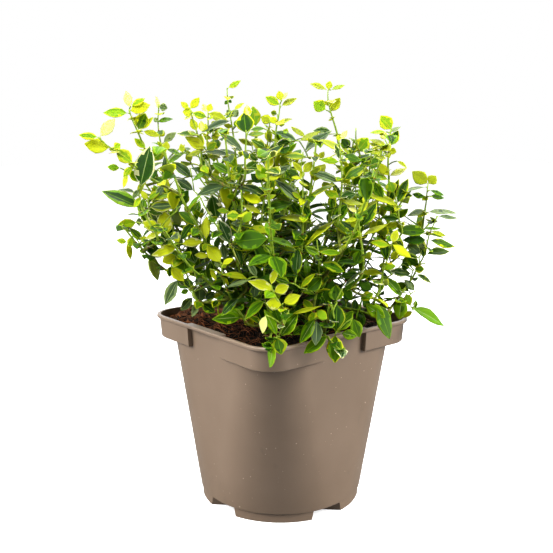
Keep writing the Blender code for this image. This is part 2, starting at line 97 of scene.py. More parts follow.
def noise_node(tree, scale, detail=4.0, stretch=(1.0, 1.0, 1.0)):
    """A noise that reads the piece's own Object coordinates, stretched along an axis."""
    place = tree.nodes.new("ShaderNodeTexCoord")
    mapping = tree.nodes.new("ShaderNodeMapping")
    mapping.inputs["Scale"].default_value = stretch
    noise = tree.nodes.new("ShaderNodeTexNoise")
    noise.inputs["Scale"].default_value = scale
    noise.inputs["Detail"].default_value = detail
    tree.links.new(place.outputs["Object"], mapping.inputs["Vector"])
    tree.links.new(mapping.outputs["Vector"], noise.inputs["Vector"])
    return noise.outputs["Fac"]


def ramp_node(tree, source, stops):
    """A colour ramp driven by a value; stops are (place, colour)."""
    ramp = tree.nodes.new("ShaderNodeValToRGB")
    while len(ramp.color_ramp.elements) < len(stops):
        ramp.color_ramp.elements.new(0.5)
    for element, (place, colour) in zip(ramp.color_ramp.elements, stops):
        element.position = place
        element.color = (*colour, 1.0)
    tree.links.new(source, ramp.inputs["Fac"])
    return ramp.outputs["Color"]


def sprinkle(tree, base, spots, colour):
    """Lay a colour over another where a grey mask says so."""
    mix = tree.nodes.new("ShaderNodeMix")
    mix.data_type = "RGBA"
    mix.inputs[7].default_value = (*colour, 1.0)
    tree.links.new(spots, mix.inputs[0])
    tree.links.new(base, mix.inputs[6])
    return mix.outputs[2]


def bump_node(tree, shader, source, strength, distance):
    """A bump from a height, wired to the shader's normal."""
    bump = tree.nodes.new("ShaderNodeBump")
    bump.inputs["Strength"].default_value = strength
    bump.inputs["Distance"].default_value = distance
    tree.links.new(source, bump.inputs["Height"])
    tree.links.new(bump.outputs["Normal"], shader.inputs["Normal"])


def roughness_from(tree, shader, source, low, high):
    """Spread a value between two roughnesses."""
    spread = tree.nodes.new("ShaderNodeMapRange")
    spread.inputs["To Min"].default_value = low
    spread.inputs["To Max"].default_value = high
    tree.links.new(source, spread.inputs["Value"])
    tree.links.new(spread.outputs["Result"], shader.inputs["Roughness"])


# %% Taupe moulded plastic
BLACK = (0.0, 0.0, 0.0)
WHITE = (1.0, 1.0, 1.0)
TAUPE_DARK = (0.205, 0.140, 0.092)
TAUPE_LIGHT = (0.235, 0.163, 0.110)
DUST = (0.560, 0.440, 0.320)
SMUDGE = (0.105, 0.078, 0.056)


def make_pot_plastic():
    """Satin plastic with slow clouds, a few dark smudges, dust specks and handling streaks."""
    material, tree, shader = new_finish("taupe_pot_plastic", TAUPE_LIGHT, 0.4)
    clouds = ramp_node(tree, noise_node(tree, 22.0, 5.0), [(0.32, TAUPE_DARK), (0.68, TAUPE_LIGHT)])
    smudges = ramp_node(tree, noise_node(tree, 34.0, 6.0, (1.0, 1.0, 0.7)), [(0.64, BLACK), (0.86, WHITE)])
    dust = ramp_node(tree, noise_node(tree, 420.0, 1.0), [(0.775, BLACK), (0.80, WHITE)])
    marked = sprinkle(tree, clouds, smudges, SMUDGE)
    dusty = sprinkle(tree, marked, dust, DUST)
    tree.links.new(dusty, shader.inputs["Base Color"])
    bump_node(tree, shader, noise_node(tree, 900.0, 3.0), 0.10, 0.0002)
    roughness_from(tree, shader, noise_node(tree, 60.0, 3.0, (1.0, 1.0, 0.12)), 0.30, 0.44)
    shader.inputs["Specular IOR Level"].default_value = 0.8
    shader.inputs["Coat Weight"].default_value = 0.25
    shader.inputs["Coat Roughness"].default_value = 0.30
    return material


pot_plastic = make_pot_plastic()

# %% Potting mix, fibres and moss
MIX_BLACK = (0.004, 0.003, 0.002)
MIX_PEAT = (0.007, 0.004, 0.002)
MIX_BROWN = (0.045, 0.020, 0.010)
MIX_RUST = (0.120, 0.048, 0.021)
# Where the painted shade at the mix's front fades into its rusty back, along the line of sight
FRONT_SHADE_FROM, FRONT_SHADE_UNTIL = -0.030, 0.030


def make_mix_finish():
    """Dark crumbs: near black at the front corner, which is painted shade, and dry and rusty towards the back."""
    material, tree, shader = new_finish("potting_mix_shaded_front", MIX_BROWN, 0.95)
    crumbs = noise_node(tree, 260.0, 8.0)
    # Near black at the front: painted shade, where the lip and the leaves shade the mix
    painted_front_shade = ramp_node(tree, crumbs, [(0.42, MIX_BLACK), (0.60, MIX_PEAT), (0.90, MIX_BROWN)])
    dry = ramp_node(tree, crumbs, [(0.40, MIX_BLACK), (0.54, MIX_BROWN), (0.74, MIX_RUST)])
    place = tree.nodes.new("ShaderNodeTexCoord")
    turned = tree.nodes.new("ShaderNodeMapping")
    turned.inputs["Rotation"].default_value = (0.0, 0.0, math.radians(-PLANT_TURN))
    parts = tree.nodes.new("ShaderNodeSeparateXYZ")
    # Fades the painted front shade into the rusty back, from the camera's side away
    front_shade_fade = tree.nodes.new("ShaderNodeMapRange")
    front_shade_fade.inputs["From Min"].default_value = FRONT_SHADE_FROM
    front_shade_fade.inputs["From Max"].default_value = FRONT_SHADE_UNTIL
    tree.links.new(place.outputs["Object"], turned.inputs["Vector"])
    tree.links.new(turned.outputs["Vector"], parts.inputs["Vector"])
    tree.links.new(parts.outputs["Y"], front_shade_fade.inputs["Value"])
    mix = tree.nodes.new("ShaderNodeMix")
    mix.data_type = "RGBA"
    tree.links.new(front_shade_fade.outputs["Result"], mix.inputs[0])
    tree.links.new(painted_front_shade, mix.inputs[6])
    tree.links.new(dry, mix.inputs[7])
    tree.links.new(mix.outputs[2], shader.inputs["Base Color"])
    shader.inputs["Specular IOR Level"].default_value = 0.1
    bump_node(tree, shader, crumbs, 0.9, 0.0012)
    return material


def make_fibre_finish(name, colour):
    material, tree, shader = new_finish(name, colour, 0.85)
    shader.inputs["Specular IOR Level"].default_value = 0.1
    bump_node(tree, shader, noise_node(tree, 700.0, 3.0), 0.4, 0.0003)
    return material


mix_finish = make_mix_finish()
FIBRE_COLOURS = {
    "rust": (0.200, 0.070, 0.026),
    "brown": (0.075, 0.032, 0.016),
    "black": (0.006, 0.004, 0.003),
    "straw": (0.300, 0.190, 0.080),
    "moss": (0.070, 0.100, 0.018),
}
fibre_finishes = [make_fibre_finish(f"fibre_{name}", colour) for name, colour in FIBRE_COLOURS.items()]

# %% Bark and twigs


def make_bark(name, dark, light, roughness):
    material, tree, shader = new_finish(name, light, roughness)
    shader.inputs["Specular IOR Level"].default_value = 0.12
    ridges = noise_node(tree, 420.0, 6.0, (1.0, 1.0, 0.35))
    tree.links.new(ramp_node(tree, ridges, [(0.34, dark), (0.66, light)]), shader.inputs["Base Color"])
    bump_node(tree, shader, ridges, 0.6, 0.0004)
    return material


bark_brown = make_bark("bark_grey_brown", (0.060, 0.036, 0.014), (0.190, 0.135, 0.060), 0.8)
bark_olive = make_bark("bark_olive", (0.070, 0.090, 0.008), (0.210, 0.250, 0.030), 0.65)
shoot_green = make_bark("shoot_green", (0.150, 0.250, 0.012), (0.360, 0.500, 0.045), 0.5)
node_rust = make_bark("node_scale_rust", (0.130, 0.035, 0.012), (0.300, 0.110, 0.040), 0.75)

# %% Leaf colours
LEAF_COLOURS = {
    "gold": (0.475, 0.545, 0.006),
    "pale_gold": (0.560, 0.585, 0.165),
    "lime": (0.375, 0.430, 0.009),
    "fresh": (0.175, 0.320, 0.004),
    "grass": (0.090, 0.212, 0.002),
    "deep": (0.030, 0.090, 0.002),
    "bottle": (0.011, 0.042, 0.002),
    # slate: a dark grey-green, partly the leaf's own tone and partly a painted reflection of the sky
    "slate": (0.038, 0.072, 0.026),
    # sage: the grey-green of the marbling, and on all-sage leaves partly a painted sheen
    "sage": (0.145, 0.205, 0.072),
    "olive": (0.220, 0.268, 0.005),
    "cream": (0.620, 0.620, 0.290),
    "vein": (0.220, 0.310, 0.090),
    "amber": (0.560, 0.360, 0.020),
    "underside": (0.230, 0.310, 0.036),
    "gold_underside": (0.460, 0.500, 0.030),
}
LEAF_SLOTS = list(LEAF_COLOURS)


def make_leaf_finish(name, colour):
    material, tree, shader = new_finish(f"leaf_{name}", colour, 0.45)
    shader.inputs["Specular IOR Level"].default_value = 0.05
    shader.inputs["Subsurface Weight"].default_value = 0.50
    shader.inputs["Subsurface Radius"].default_value = (1.0, 1.0, 0.20)
    shader.inputs["Subsurface Scale"].default_value = 0.0018
    bump_node(tree, shader, noise_node(tree, 320.0, 3.0), 0.25, 0.0004)
    return material


leaf_finishes = [make_leaf_finish(name, LEAF_COLOURS[name]) for name in LEAF_SLOTS]
print("leaf colours:", len(leaf_finishes))

# %% [markdown]
# ## The plan of the shoots
# The frame's stems fan out from the root crown in rings, and bend up as they grow. The same
# rule is written again here, with the same named sizes and the same order of random draws,
# so every stem made below runs through the solid that it stands for. The only difference
# is finer steps: a smooth curve is read through the rule's points.

# %% The rule's named sizes
DOME_RADIUS = 0.0125
DOME_CENTRE = 0.1665
GAP = 0.0003
PATH_STEP = 0.022
BEND_WOBBLE = 5.0
RINGS = (
    ("heart", (90.0,), 9.0, 3.0, 0.157, 0.0),
    ("upper", (12.0, 84.0, 156.0, 228.0, 300.0), 36.0, 3.0, 0.170, 0.0),
    ("outer", (40.0, 85.0, 130.0, 175.0, 220.0, 265.0, 310.0, 355.0), 60.0, 15.0, 0.190, 0.12),
    ("lower", (15.0, 55.0, 104.0, 160.0, 200.0, 236.0), 80.0, 36.0, 0.151, -0.04),
    ("skirt", (90.0, 268.0, 295.0, 333.0), 82.0, 102.0, 0.111, 0.0),
)
FAR_SIDE_BEARING = 175.0
FAR_SIDE_FOCUS = 5
BEARING_JITTER = 4.0
LEAN_JITTER = 2.0
LENGTH_JITTER = 0.06
SEED = 1042

# %% The rule itself


def direction(bearing, lean):
    """A unit vector at a bearing round the plant and a lean from the vertical."""
    around = math.radians(bearing + PLANT_TURN)
    tilt = math.radians(lean)
    flat = math.sin(tilt)
    return Vector((flat * math.cos(around), flat * math.sin(around), math.cos(tilt)))


def grow_path(start, bearing, foot_lean, tip_lean, length, rule):
    """The points of a shoot that leans out less, or more, towards its tip."""
    steps = max(2, round(length / PATH_STEP))
    points = [Vector(start)]
    for step in range(steps):
        share = (step + 0.5) / steps
        lean = foot_lean + (tip_lean - foot_lean) * share + rule.uniform(-BEND_WOBBLE, BEND_WOBBLE)
        sway = rule.uniform(-BEND_WOBBLE, BEND_WOBBLE)
        points.append(points[-1] + direction(bearing + sway, lean) * (length / steps))
    return points


def plan_shoots(rule):
    """Every shoot's ring, number and path, from the root crown's dome to its tip."""
    centre = Vector((0.0, 0.0, DOME_CENTRE))
    shoots = []
    for ring, bearings, foot_lean, tip_lean, length, far_side_gain in RINGS:
        for number, ring_bearing in enumerate(bearings, start=1):
            bearing = ring_bearing + rule.uniform(-BEARING_JITTER, BEARING_JITTER)
            lean = foot_lean + rule.uniform(-LEAN_JITTER, LEAN_JITTER)
            farness = math.cos(math.radians(bearing - FAR_SIDE_BEARING)) ** FAR_SIDE_FOCUS
            reach = length * (1.0 + far_side_gain * farness)
            reach *= 1.0 + rule.uniform(-LENGTH_JITTER, LENGTH_JITTER)
            outward = direction(bearing, lean)
            start = centre + outward * (DOME_RADIUS + GAP)
            path = grow_path(start, bearing, lean, tip_lean, reach, rule)
            straight = outward * (path[1] - path[0]).length - (path[1] - path[0])
            path[1:] = [point + straight for point in path[1:]]
            shoots.append((ring, number, path))
    return shoots


shoots = plan_shoots(random.Random(SEED))
print("shoots:", len(shoots))

# %% Smooth curves through the rule's points
FINE_STEP = 0.004


def smooth_path(points):
    """A Catmull-Rom curve through the points, with one place every few millimetres."""
    ends = [points[0] * 2 - points[1], *points, points[-1] * 2 - points[-2]]
    curve = [points[0].copy()]
    for a, b, c, d in zip(ends, ends[1:], ends[2:], ends[3:]):
        count = max(2, round((c - b).length / FINE_STEP))
        for step in range(1, count + 1):
            t = step / count
            bend = (2 * a - 5 * b + 4 * c - d) * t**2 + (3 * b - a - 3 * c + d) * t**3
            curve.append(0.5 * (2 * b + (c - a) * t + bend))
    return curve


def path_length(path):
    return sum((b - a).length for a, b in zip(path, path[1:]))


def point_along(path, distance):
    """The place and heading at a distance along a path."""
    for a, b in zip(path, path[1:]):
        step = (b - a).length
        if distance <= step:
            return a + (b - a) * (distance / step), (b - a).normalized()
        distance -= step
    return path[-1].copy(), (path[-1] - path[-2]).normalized()


def side_axes(heading, hint=UP):
    """Two unit vectors square to a heading and to each other."""
    first = hint - heading * hint.dot(heading)
    if first.length < 1e-6:
        first = heading.orthogonal()
    first.normalize()
    return first, heading.cross(first).normalized()


# %% [markdown]
# ## Stems and twigs as joined meshes
# A limb is a tube whose radius swells at each node, where a pair of leaves sits, and wavers
# a little between them: that is the bark's relief. Hundreds of tubes by hand would be slow
# and heavy, so a small collector gathers the points and faces of many limbs and makes one
# mesh of them at the end.

# %% A collector for joined meshes


class Collector:
    """Gathers points, faces and material numbers, and makes one mesh of them."""

    def __init__(self):
        self.points = []
        self.faces = []
        self.slots = []

    def add(self, points, faces, slots):
        first = len(self.points)
        self.points.extend(points)
        self.faces.extend(tuple(first + i for i in face) for face in faces)
        self.slots.extend(slots)

    def make(self, name, finishes):
        mesh = bpy.data.meshes.new(name)
        mesh.from_pydata([tuple(p) for p in self.points], [], self.faces)
        for finish in finishes:
            mesh.materials.append(finish)
        mesh.polygons.foreach_set("material_index", self.slots)
        mesh.polygons.foreach_set("use_smooth", [True] * len(self.faces))
        mesh.update()
        piece = bpy.data.objects.new(name, mesh)
        bpy.context.scene.collection.objects.link(piece)
        return piece


# %% A limb with nodes
LIMB_FINISHES = [bark_brown, bark_olive, shoot_green, node_rust]
BROWN, OLIVE, GREEN, RUST = range(4)
NODE_SWELL = 0.28
NODE_HALF = 0.0011
BARK_WAVER = 0.07
RUST_CHANCE = 0.45


def limb_rings(path, node_places):
    """Distances along a limb where it needs a ring: every fine step and round each node."""
    total = path_length(path)
    count = max(2, round(total / FINE_STEP))
    places = [total * i / count for i in range(count + 1)]
    kept = [d for d in places if all(abs(d - n) > NODE_HALF * 1.8 for n in node_places) or d in (0.0, total)]
    for node in node_places:
        kept += [d for d in (node - NODE_HALF, node, node + NODE_HALF) if 0.0 < d < total]
    return sorted(set(kept))


def add_limb(collector, path, foot_radius, tip_radius, node_places, brown_until, olive_until, sides, rule):
    """A tapering limb with a swelling and a scale at each node, closed at both ends."""
    total = path_length(path)
    hint = Vector((0.31, 0.17, 0.93))
    rings = limb_rings(path, node_places)
    points = []
    for distance in rings:
        place, heading = point_along(path, distance)
        first, second = side_axes(heading, hint)
        hint = first
        radius = foot_radius + (tip_radius - foot_radius) * distance / total
        if any(abs(distance - n) < NODE_HALF / 2 for n in node_places):
            radius *= 1.0 + NODE_SWELL
        for side in range(sides):
            angle = 2 * math.pi * side / sides
            reach = radius * (1.0 + rule.uniform(-BARK_WAVER, BARK_WAVER))
            points.append(place + reach * (math.cos(angle) * first + math.sin(angle) * second))
    faces = [tuple(reversed(range(sides)))]
    slots = [BROWN if brown_until > 0 else GREEN]
    for level in range(len(rings) - 1):
        middle = (rings[level] + rings[level + 1]) / 2
        at_node = any(abs(middle - n) < NODE_HALF for n in node_places)
        share = middle / total
        bark = BROWN if share < brown_until else OLIVE if share < olive_until else GREEN
        low = level * sides
        for i in range(sides):
            j = (i + 1) % sides
            faces.append((low + i, low + j, low + sides + j, low + sides + i))
            slots.append(RUST if at_node and rule.random() < RUST_CHANCE else bark)
    last = (len(rings) - 1) * sides
    faces.append(tuple(range(last, last + sides)))
    slots.append(GREEN)
    collector.add(points, faces, slots)


# %% [markdown]
# ## One leaf
# A wintercreeper leaf is an ellipse on a short stalk, folded a little along its pale midrib
# and curled down towards its tip. Its upper side is a grid of seven strips between the
# margins and seven stations along it, so its heart, the ring round it and its margin are
# faces of their own, and the lines between them wander from leaf to leaf. Its paler
# underside closes it into a thin solid.

# %% The leaf's template
STATIONS = (0.07, 0.15, 0.26, 0.38, 0.51, 0.64, 0.76, 0.87, 0.95)
COLUMNS = (-1.0, -0.83, -0.50, -0.04, 0.04, 0.50, 0.83, 1.0)
UNDER_COLUMNS = (-0.72, 0.0, 0.72)
STALK_SHARE = 0.07
LEAF_SHEET = 0.00028
HEART, RING, MARGIN, MIDRIB, UNDER, UNDER_MARGIN = range(6)


def outline_width(t):
    """Half of the leaf's width at a share of its length, as a share of the widest."""
    if t <= STALK_SHARE:
        return 0.07
    blade = (t - STALK_SHARE) / (1.0 - STALK_SHARE)
    return max(0.07, math.sin(math.pi * blade**0.86) ** 0.92)


def strip_zone(column):
    """Which zone a strip of the upper side is in, counted from the left margin."""
    return (MARGIN, RING, HEART, MIDRIB, HEART, RING, MARGIN)[column]


def leaf_template():
    """Faces of a leaf: its upper side strip by strip, then its underside."""
    width = len(COLUMNS)
    rings = len(STATIONS)
    tip = 1 + rings * width
    under = tip + 1
    faces = []
    zones = []
    for column in range(width - 1):
        faces.append((0, 1 + column, 2 + column))
        zones.append((0, strip_zone(column)))
    for ring in range(rings - 1):
        low = 1 + ring * width
        for column in range(width - 1):
            a = low + column
            faces.append((a, a + width, a + width + 1, a + 1))
            zones.append((ring + 1, strip_zone(column)))
    last = 1 + (rings - 1) * width
    for column in range(width - 1):
        faces.append((last + column, tip, last + column + 1))
        zones.append((rings, strip_zone(column)))

    def under_row(ring):
        row = 1 + ring * width
        below = under + ring * len(UNDER_COLUMNS)
        return [row, below, below + 1, below + 2, row + width - 1]

    under_zones = (UNDER_MARGIN, UNDER, UNDER, UNDER_MARGIN)
    for place, zone in enumerate(under_zones):
        row = under_row(0)
        faces.append((0, row[place + 1], row[place]))
        zones.append((0, zone))
    for ring in range(rings - 1):
        row, after = under_row(ring), under_row(ring + 1)
        for place, zone in enumerate(under_zones):
            faces.append((row[place], row[place + 1], after[place + 1], after[place]))
            zones.append((ring + 1, zone))
    row = under_row(rings - 1)
    for place, zone in enumerate(under_zones):
        faces.append((row[place], row[place + 1], tip))
        zones.append((rings, zone))
    return faces, zones


LEAF_FACES, LEAF_ZONES = leaf_template()
print("faces of one leaf:", len(LEAF_FACES))

# %% The leaf's points
RING_WANDER = 0.14
MARGIN_WANDER = 0.08


def leaf_points(root, heading, up, shape, rule):
    """A leaf's points in the template's order; its shape is a dictionary of named shares."""
    across = heading.cross(up).normalized()
    top = across.cross(heading).normalized()
    length, half_width, curl = shape["length"], shape["half_width"], shape["curl"]
    points = [root]
    unders = []

    def spine(t):
        return root + heading * (length * t * (1.0 - 0.25 * curl * t)) - top * (length * curl * t**2)

    def rise_at(u, t, half):
        wave = math.sin(shape["phase"] + 9.0 * t + (1.7 if u > 0 else 0.0))
        ripple = shape["ripple"] * half_width * wave * abs(u)
        return half * (shape["fold"] * abs(u) - 0.18 * abs(u) ** 3) + ripple

    for ring, t in enumerate(STATIONS):
        centre = spine(t)
        turn = shape["twist"] * t
        side = across * math.cos(turn) + top * math.sin(turn)
        lift = top * math.cos(turn) - across * math.sin(turn)
        half = half_width * outline_width(t) * (1.0 + 0.03 * (-1) ** ring)
        for place, u in enumerate(COLUMNS):
            if place in (1, 6):
                u += rule.uniform(-MARGIN_WANDER, MARGIN_WANDER)
            elif place in (2, 5):
                u += rule.uniform(-RING_WANDER, RING_WANDER)
            points.append(centre + side * (half * u) + lift * rise_at(u, t, half))
        for u in UNDER_COLUMNS:
            unders.append(centre + side * (half * u) + lift * (rise_at(u, t, half) - LEAF_SHEET))
    points.append(spine(1.0))
    return points + unders


# %% [markdown]
# ## Leaf patterns
# On the real plant the youngest leaves are almost all gold, grown ones have a dark green
# heart marbled with sage inside a gold or cream margin, and leaves in the shade of the
# crown are plain green with a lighter edge. The shade pattern, dark all over, is painted
# shade for leaves low and deep in the crown. A pattern names the colours of the heart, the
# ring round it, the margin, the midrib and both parts of the underside. Now and then a face
# takes its neighbour zone's colour instead, which breaks up the borders.

# %% Patterns by name
PATTERNS = {
    "gold": (("lime", "gold", "lime"), ("gold", "gold", "lime"), ("gold", "pale_gold"), "gold"),
    "pale": (("lime", "pale_gold"), ("pale_gold", "gold"), ("pale_gold", "cream"), "pale_gold"),
    "lime": (("lime", "fresh", "olive"), ("lime", "lime", "olive"), ("lime", "gold", "lime"), "lime"),
    "bright": (("grass", "fresh"), ("fresh", "lime", "grass"), ("gold", "lime", "gold"), "fresh"),
    "cream": (("bottle", "slate", "deep"), ("bottle", "deep", "olive"), ("cream", "pale_gold"), "vein"),
    "green_gold": (("deep", "bottle"), ("deep", "grass", "olive"), ("lime", "gold", "fresh"), "grass"),
    "olive": (("olive", "grass"), ("olive", "olive", "lime"), ("olive", "lime"), "olive"),
    "green": (("deep", "bottle", "deep"), ("grass", "deep", "grass"), ("grass", "fresh", "olive"), "grass"),
    "fresh": (("deep", "grass"), ("grass", "fresh"), ("fresh", "fresh", "grass"), "vein"),
    # slate: its bluish cast is partly a painted reflection of the sky
    "slate": (("slate", "bottle"), ("slate", "slate", "sage"), ("sage", "cream", "fresh"), "sage"),
    # sage: grey-green marbling, partly a painted sheen on dark leaves
    "sage": (("slate", "sage"), ("sage", "sage", "slate"), ("sage", "vein"), "vein"),
    # shade: dark all over, painted shade for leaves low and deep in the crown
    "shade": (("bottle", "deep"), ("deep", "bottle"), ("deep", "grass", "deep"), "deep"),
}
UNDERSIDES = {
    "gold": ("gold_underside", "gold_underside"),
    "pale": ("gold_underside", "pale_gold"),
    "lime": ("lime", "gold_underside"),
    "bright": ("underside", "gold_underside"),
    "cream": ("sage", "cream"),
    "green_gold": ("underside", "lime"),
    "olive": ("olive", "lime"),
    "green": ("grass", "fresh"),
    "fresh": ("underside", "lime"),
    "slate": ("sage", "sage"),
    "sage": ("sage", "vein"),
    "shade": ("deep", "grass"),
}
BORDER_BREAK = 0.09
MARBLING = 0.07
FLECK_CHANCE = 0.012


def leaf_slots(pattern, rule, fleck_chance=FLECK_CHANCE):
    """A material number for each face of a leaf, by the pattern's zones."""
    hearts, rings, margins, midrib = PATTERNS[pattern]
    heart = rule.choice(hearts)
    ring_colour = rule.choice(rings)
    margin = rule.choice(margins)
    under, under_margin = UNDERSIDES[pattern]
    fleck_from = rule.randint(5, 8) if rule.random() < fleck_chance else len(STATIONS) + 1
    faces_rule = random.Random(rule.random())
    slots = []
    for station, zone in LEAF_ZONES:
        draw = faces_rule.random()
        if zone == UNDER:
            name = under
        elif zone == UNDER_MARGIN:
            name = under_margin
        elif zone == MIDRIB:
            name = midrib if station < len(STATIONS) else margin
        elif zone == MARGIN:
            name = ring_colour if draw < BORDER_BREAK * 0.5 else margin
        elif zone == RING:
            name = heart if draw < BORDER_BREAK else margin if draw > 1.0 - BORDER_BREAK else ring_colour
            name = margin if station >= len(STATIONS) - 1 else name
        else:
            name = faces_rule.choice(hearts) if draw < MARBLING else heart
            name = ring_colour if station >= len(STATIONS) else name
        if station >= fleck_from and zone in (RING, MARGIN, HEART):
            name = "amber"
        slots.append(LEAF_SLOTS.index(name))
    return slots


# %% [markdown]
# ## Where the camera stands
# The photograph shows the crown from one side, and its outline there is much of the
# likeness. So the camera comes before the leaves: a place that was read off the photograph,
# as column and row, can then be turned into a place in the frame at any depth, and back.
# Depth is measured from the pot's axis, away from the camera.

# %% The camera
CAMERA_DISTANCE = 0.690
CAMERA_HEIGHT = 0.3265
CAMERA_PITCH = 10.69
CAMERA_YAW = 0.30
FOCAL_PIXELS = 800.0
FRAME_PIXELS = 553.0
SENSOR = 36.0
camera_data = bpy.data.cameras.new("portrait_camera")
camera_data.sensor_width = SENSOR
camera_data.lens = FOCAL_PIXELS / FRAME_PIXELS * SENSOR
camera = bpy.data.objects.new("portrait_camera", camera_data)
camera_turn = math.radians(PLANT_TURN)
camera.location = (
    math.sin(camera_turn) * CAMERA_DISTANCE,
    -math.cos(camera_turn) * CAMERA_DISTANCE,
    CAMERA_HEIGHT,
)
camera.rotation_euler = (math.radians(90.0 - CAMERA_PITCH), 0.0, camera_turn + math.radians(CAMERA_YAW))
bpy.context.scene.collection.objects.link(camera)
bpy.context.scene.camera = camera

# %% From the photograph to the frame and back
EYE = Vector(camera.location)


def view_place(right, away, height):
    """A place given as right of the pot's axis, away from the camera, and height."""
    x = right * math.cos(camera_turn) - away * math.sin(camera_turn)
    y = right * math.sin(camera_turn) + away * math.cos(camera_turn)
    return Vector((x, y, height))


def depth_of(place):
    """How far behind the pot's axis a place lies, seen from the camera."""
    return place.y * math.cos(camera_turn) - place.x * math.sin(camera_turn)


def photo_place(column, row, away):
    """The place at a depth that shows at a column and row of the photograph."""
    across = (column - FRAME_PIXELS / 2) / FOCAL_PIXELS
    down = (row - FRAME_PIXELS / 2) / FOCAL_PIXELS
    pitch, yaw = math.radians(CAMERA_PITCH), math.radians(CAMERA_YAW)
    ahead = math.cos(pitch) - down * math.sin(pitch)
    rise = -math.sin(pitch) - down * math.cos(pitch)
    right = across * math.cos(yaw) - ahead * math.sin(yaw)
    forward = across * math.sin(yaw) + ahead * math.cos(yaw)
    reach = (CAMERA_DISTANCE + away) / forward
    return view_place(right * reach, away, CAMERA_HEIGHT + rise * reach)


def photo_spot(place):
    """The column and row at which a place shows in the photograph."""
    right = place.x * math.cos(camera_turn) + place.y * math.sin(camera_turn)
    forward = depth_of(place) + CAMERA_DISTANCE
    height = place.z - CAMERA_HEIGHT
    pitch, yaw = math.radians(CAMERA_PITCH), math.radians(CAMERA_YAW)
    across = right * math.cos(yaw) + forward * math.sin(yaw)
    ahead = forward * math.cos(yaw) - right * math.sin(yaw)
    depth = ahead * math.cos(pitch) - height * math.sin(pitch)
    down = -height * math.cos(pitch) - ahead * math.sin(pitch)
    return FRAME_PIXELS / 2 + FOCAL_PIXELS * across / depth, FRAME_PIXELS / 2 + FOCAL_PIXELS * down / depth


column, row = photo_spot(photo_place(120.0, 300.0, -0.05))
print("a spot there and back:", round(column, 3), round(row, 3))

# %% [markdown]
# ## Growing the crown
# Each shoot carries leaves in opposite pairs, each pair square to the last, from near its
# foot to its tip, and side twigs at its nodes that turn up towards the light and do the
# same, with shorter twigs on those. Old leaves low on a limb stand straight out or hang,
# young ones at its tip stand up in a cup, and most are held level. A leaf that would reach
# into the pot is swung round or left out, and so is one that would cross the crown's
# outline in the photograph. How gold a leaf is follows its spray: its height and reach, how
# near the leaf is to the spray's tip, and a draw for the spray as a whole.

# %% Named sizes of the finer growth
INTERNODE = 0.0160
LEAF_LENGTH = 0.0255
LEAF_LENGTH_DRAW = (0.70, 1.22)
LEAF_HALF_SHARE = (0.185, 0.265)
FOOT_LEAF_SPREAD = 84.0
TIP_LEAF_SPREAD = 42.0
SPREAD_JITTER = 14.0
FOOT_LEAF_SAG = 0.30
LIGHT_UP = 0.95
LIGHT_OUT = 0.16
LIGHT_ALONG = 0.12
LEAF_STRAY = 0.34
SHOOT_FOOT_RADIUS = 0.0016
SHOOT_TIP_RADIUS = 0.0007
TWIG_FOOT_RADIUS = 0.0010
TWIG_TIP_RADIUS = 0.0005
LEAFY_FROM = 0.15
TWIG_CHANCE = 1.0
TWIG_LEAN = (32.0, 50.0)
TWIG_TILT_LEFT = 0.25
TWIG_TURN = 137.5
LONG_TWIG_CHANCE = 0.50
LONG_TWIG = (3.0, 5.2)
SHORT_TWIG = (1.5, 2.8)
FINE_TWIG_CHANCE = 0.40
LEAF_SWINGS = (0.0, 35.0, -35.0, 70.0, -70.0)
POT_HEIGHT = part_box("pot")[1][2]
POT_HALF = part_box("pot")[1][0]
POT_CLEARANCE = 0.0015
REACH_LOW, REACH_HIGH = cad_bounds
REACH_SPARE = 0.005
EDGE_BAND = 0.030

# Where the photograph shows the crown dense, as columns and rows: its top and its underside
DENSE_TOP = (
    (114, 192), (128, 172), (140, 154), (154, 140), (170, 144), (186, 146), (200, 130), (216, 122),
    (234, 130), (250, 118), (264, 126), (284, 133), (300, 142), (316, 136), (334, 131), (350, 138),
    (376, 142), (392, 142), (402, 176), (416, 204), (428, 208), (442, 226), (452, 240),
)
DENSE_FOOT = (
    (114, 208), (124, 236), (142, 250), (152, 256), (164, 276), (180, 300), (200, 311), (216, 322),
    (240, 323), (262, 340), (274, 362), (292, 350), (302, 343), (322, 352), (336, 358), (350, 345),
    (368, 334), (384, 318), (400, 306), (412, 298), (428, 282), (442, 258), (452, 242),
)


def read_line(points, x):
    """The height of a bent line at x."""
    for (x0, y0), (x1, y1) in zip(points, points[1:]):
        if x <= x1:
            return y0 + (y1 - y0) * (x - x0) / (x1 - x0)
    return points[-1][1]


def in_outline(place):
    """Whether a place shows inside the dense part of the crown in the photograph."""
    column, row = photo_spot(place)
    if not DENSE_TOP[0][0] < column < DENSE_TOP[-1][0]:
        return False
    return read_line(DENSE_TOP, column) < row < read_line(DENSE_FOOT, column)


def clear_of_pot(points):
    """Whether points stay out of the pot and within the solids' reach."""
    for p in points:
        inside = max(abs(p.x), abs(p.y)) < POT_HALF + POT_CLEARANCE
        if inside and p.z < POT_HEIGHT + POT_CLEARANCE:
            return False
        if p.z > REACH_HIGH[2] + REACH_SPARE:
            return False
        if not (REACH_LOW[0] - REACH_SPARE < p.x < REACH_HIGH[0] + REACH_SPARE):
            return False
        if not (REACH_LOW[1] - REACH_SPARE < p.y < REACH_HIGH[1] + REACH_SPARE):
            return False
    return True


def fits(points):
    return clear_of_pot(points) and all(in_outline(p) for p in points)


# %% Which pattern a leaf has


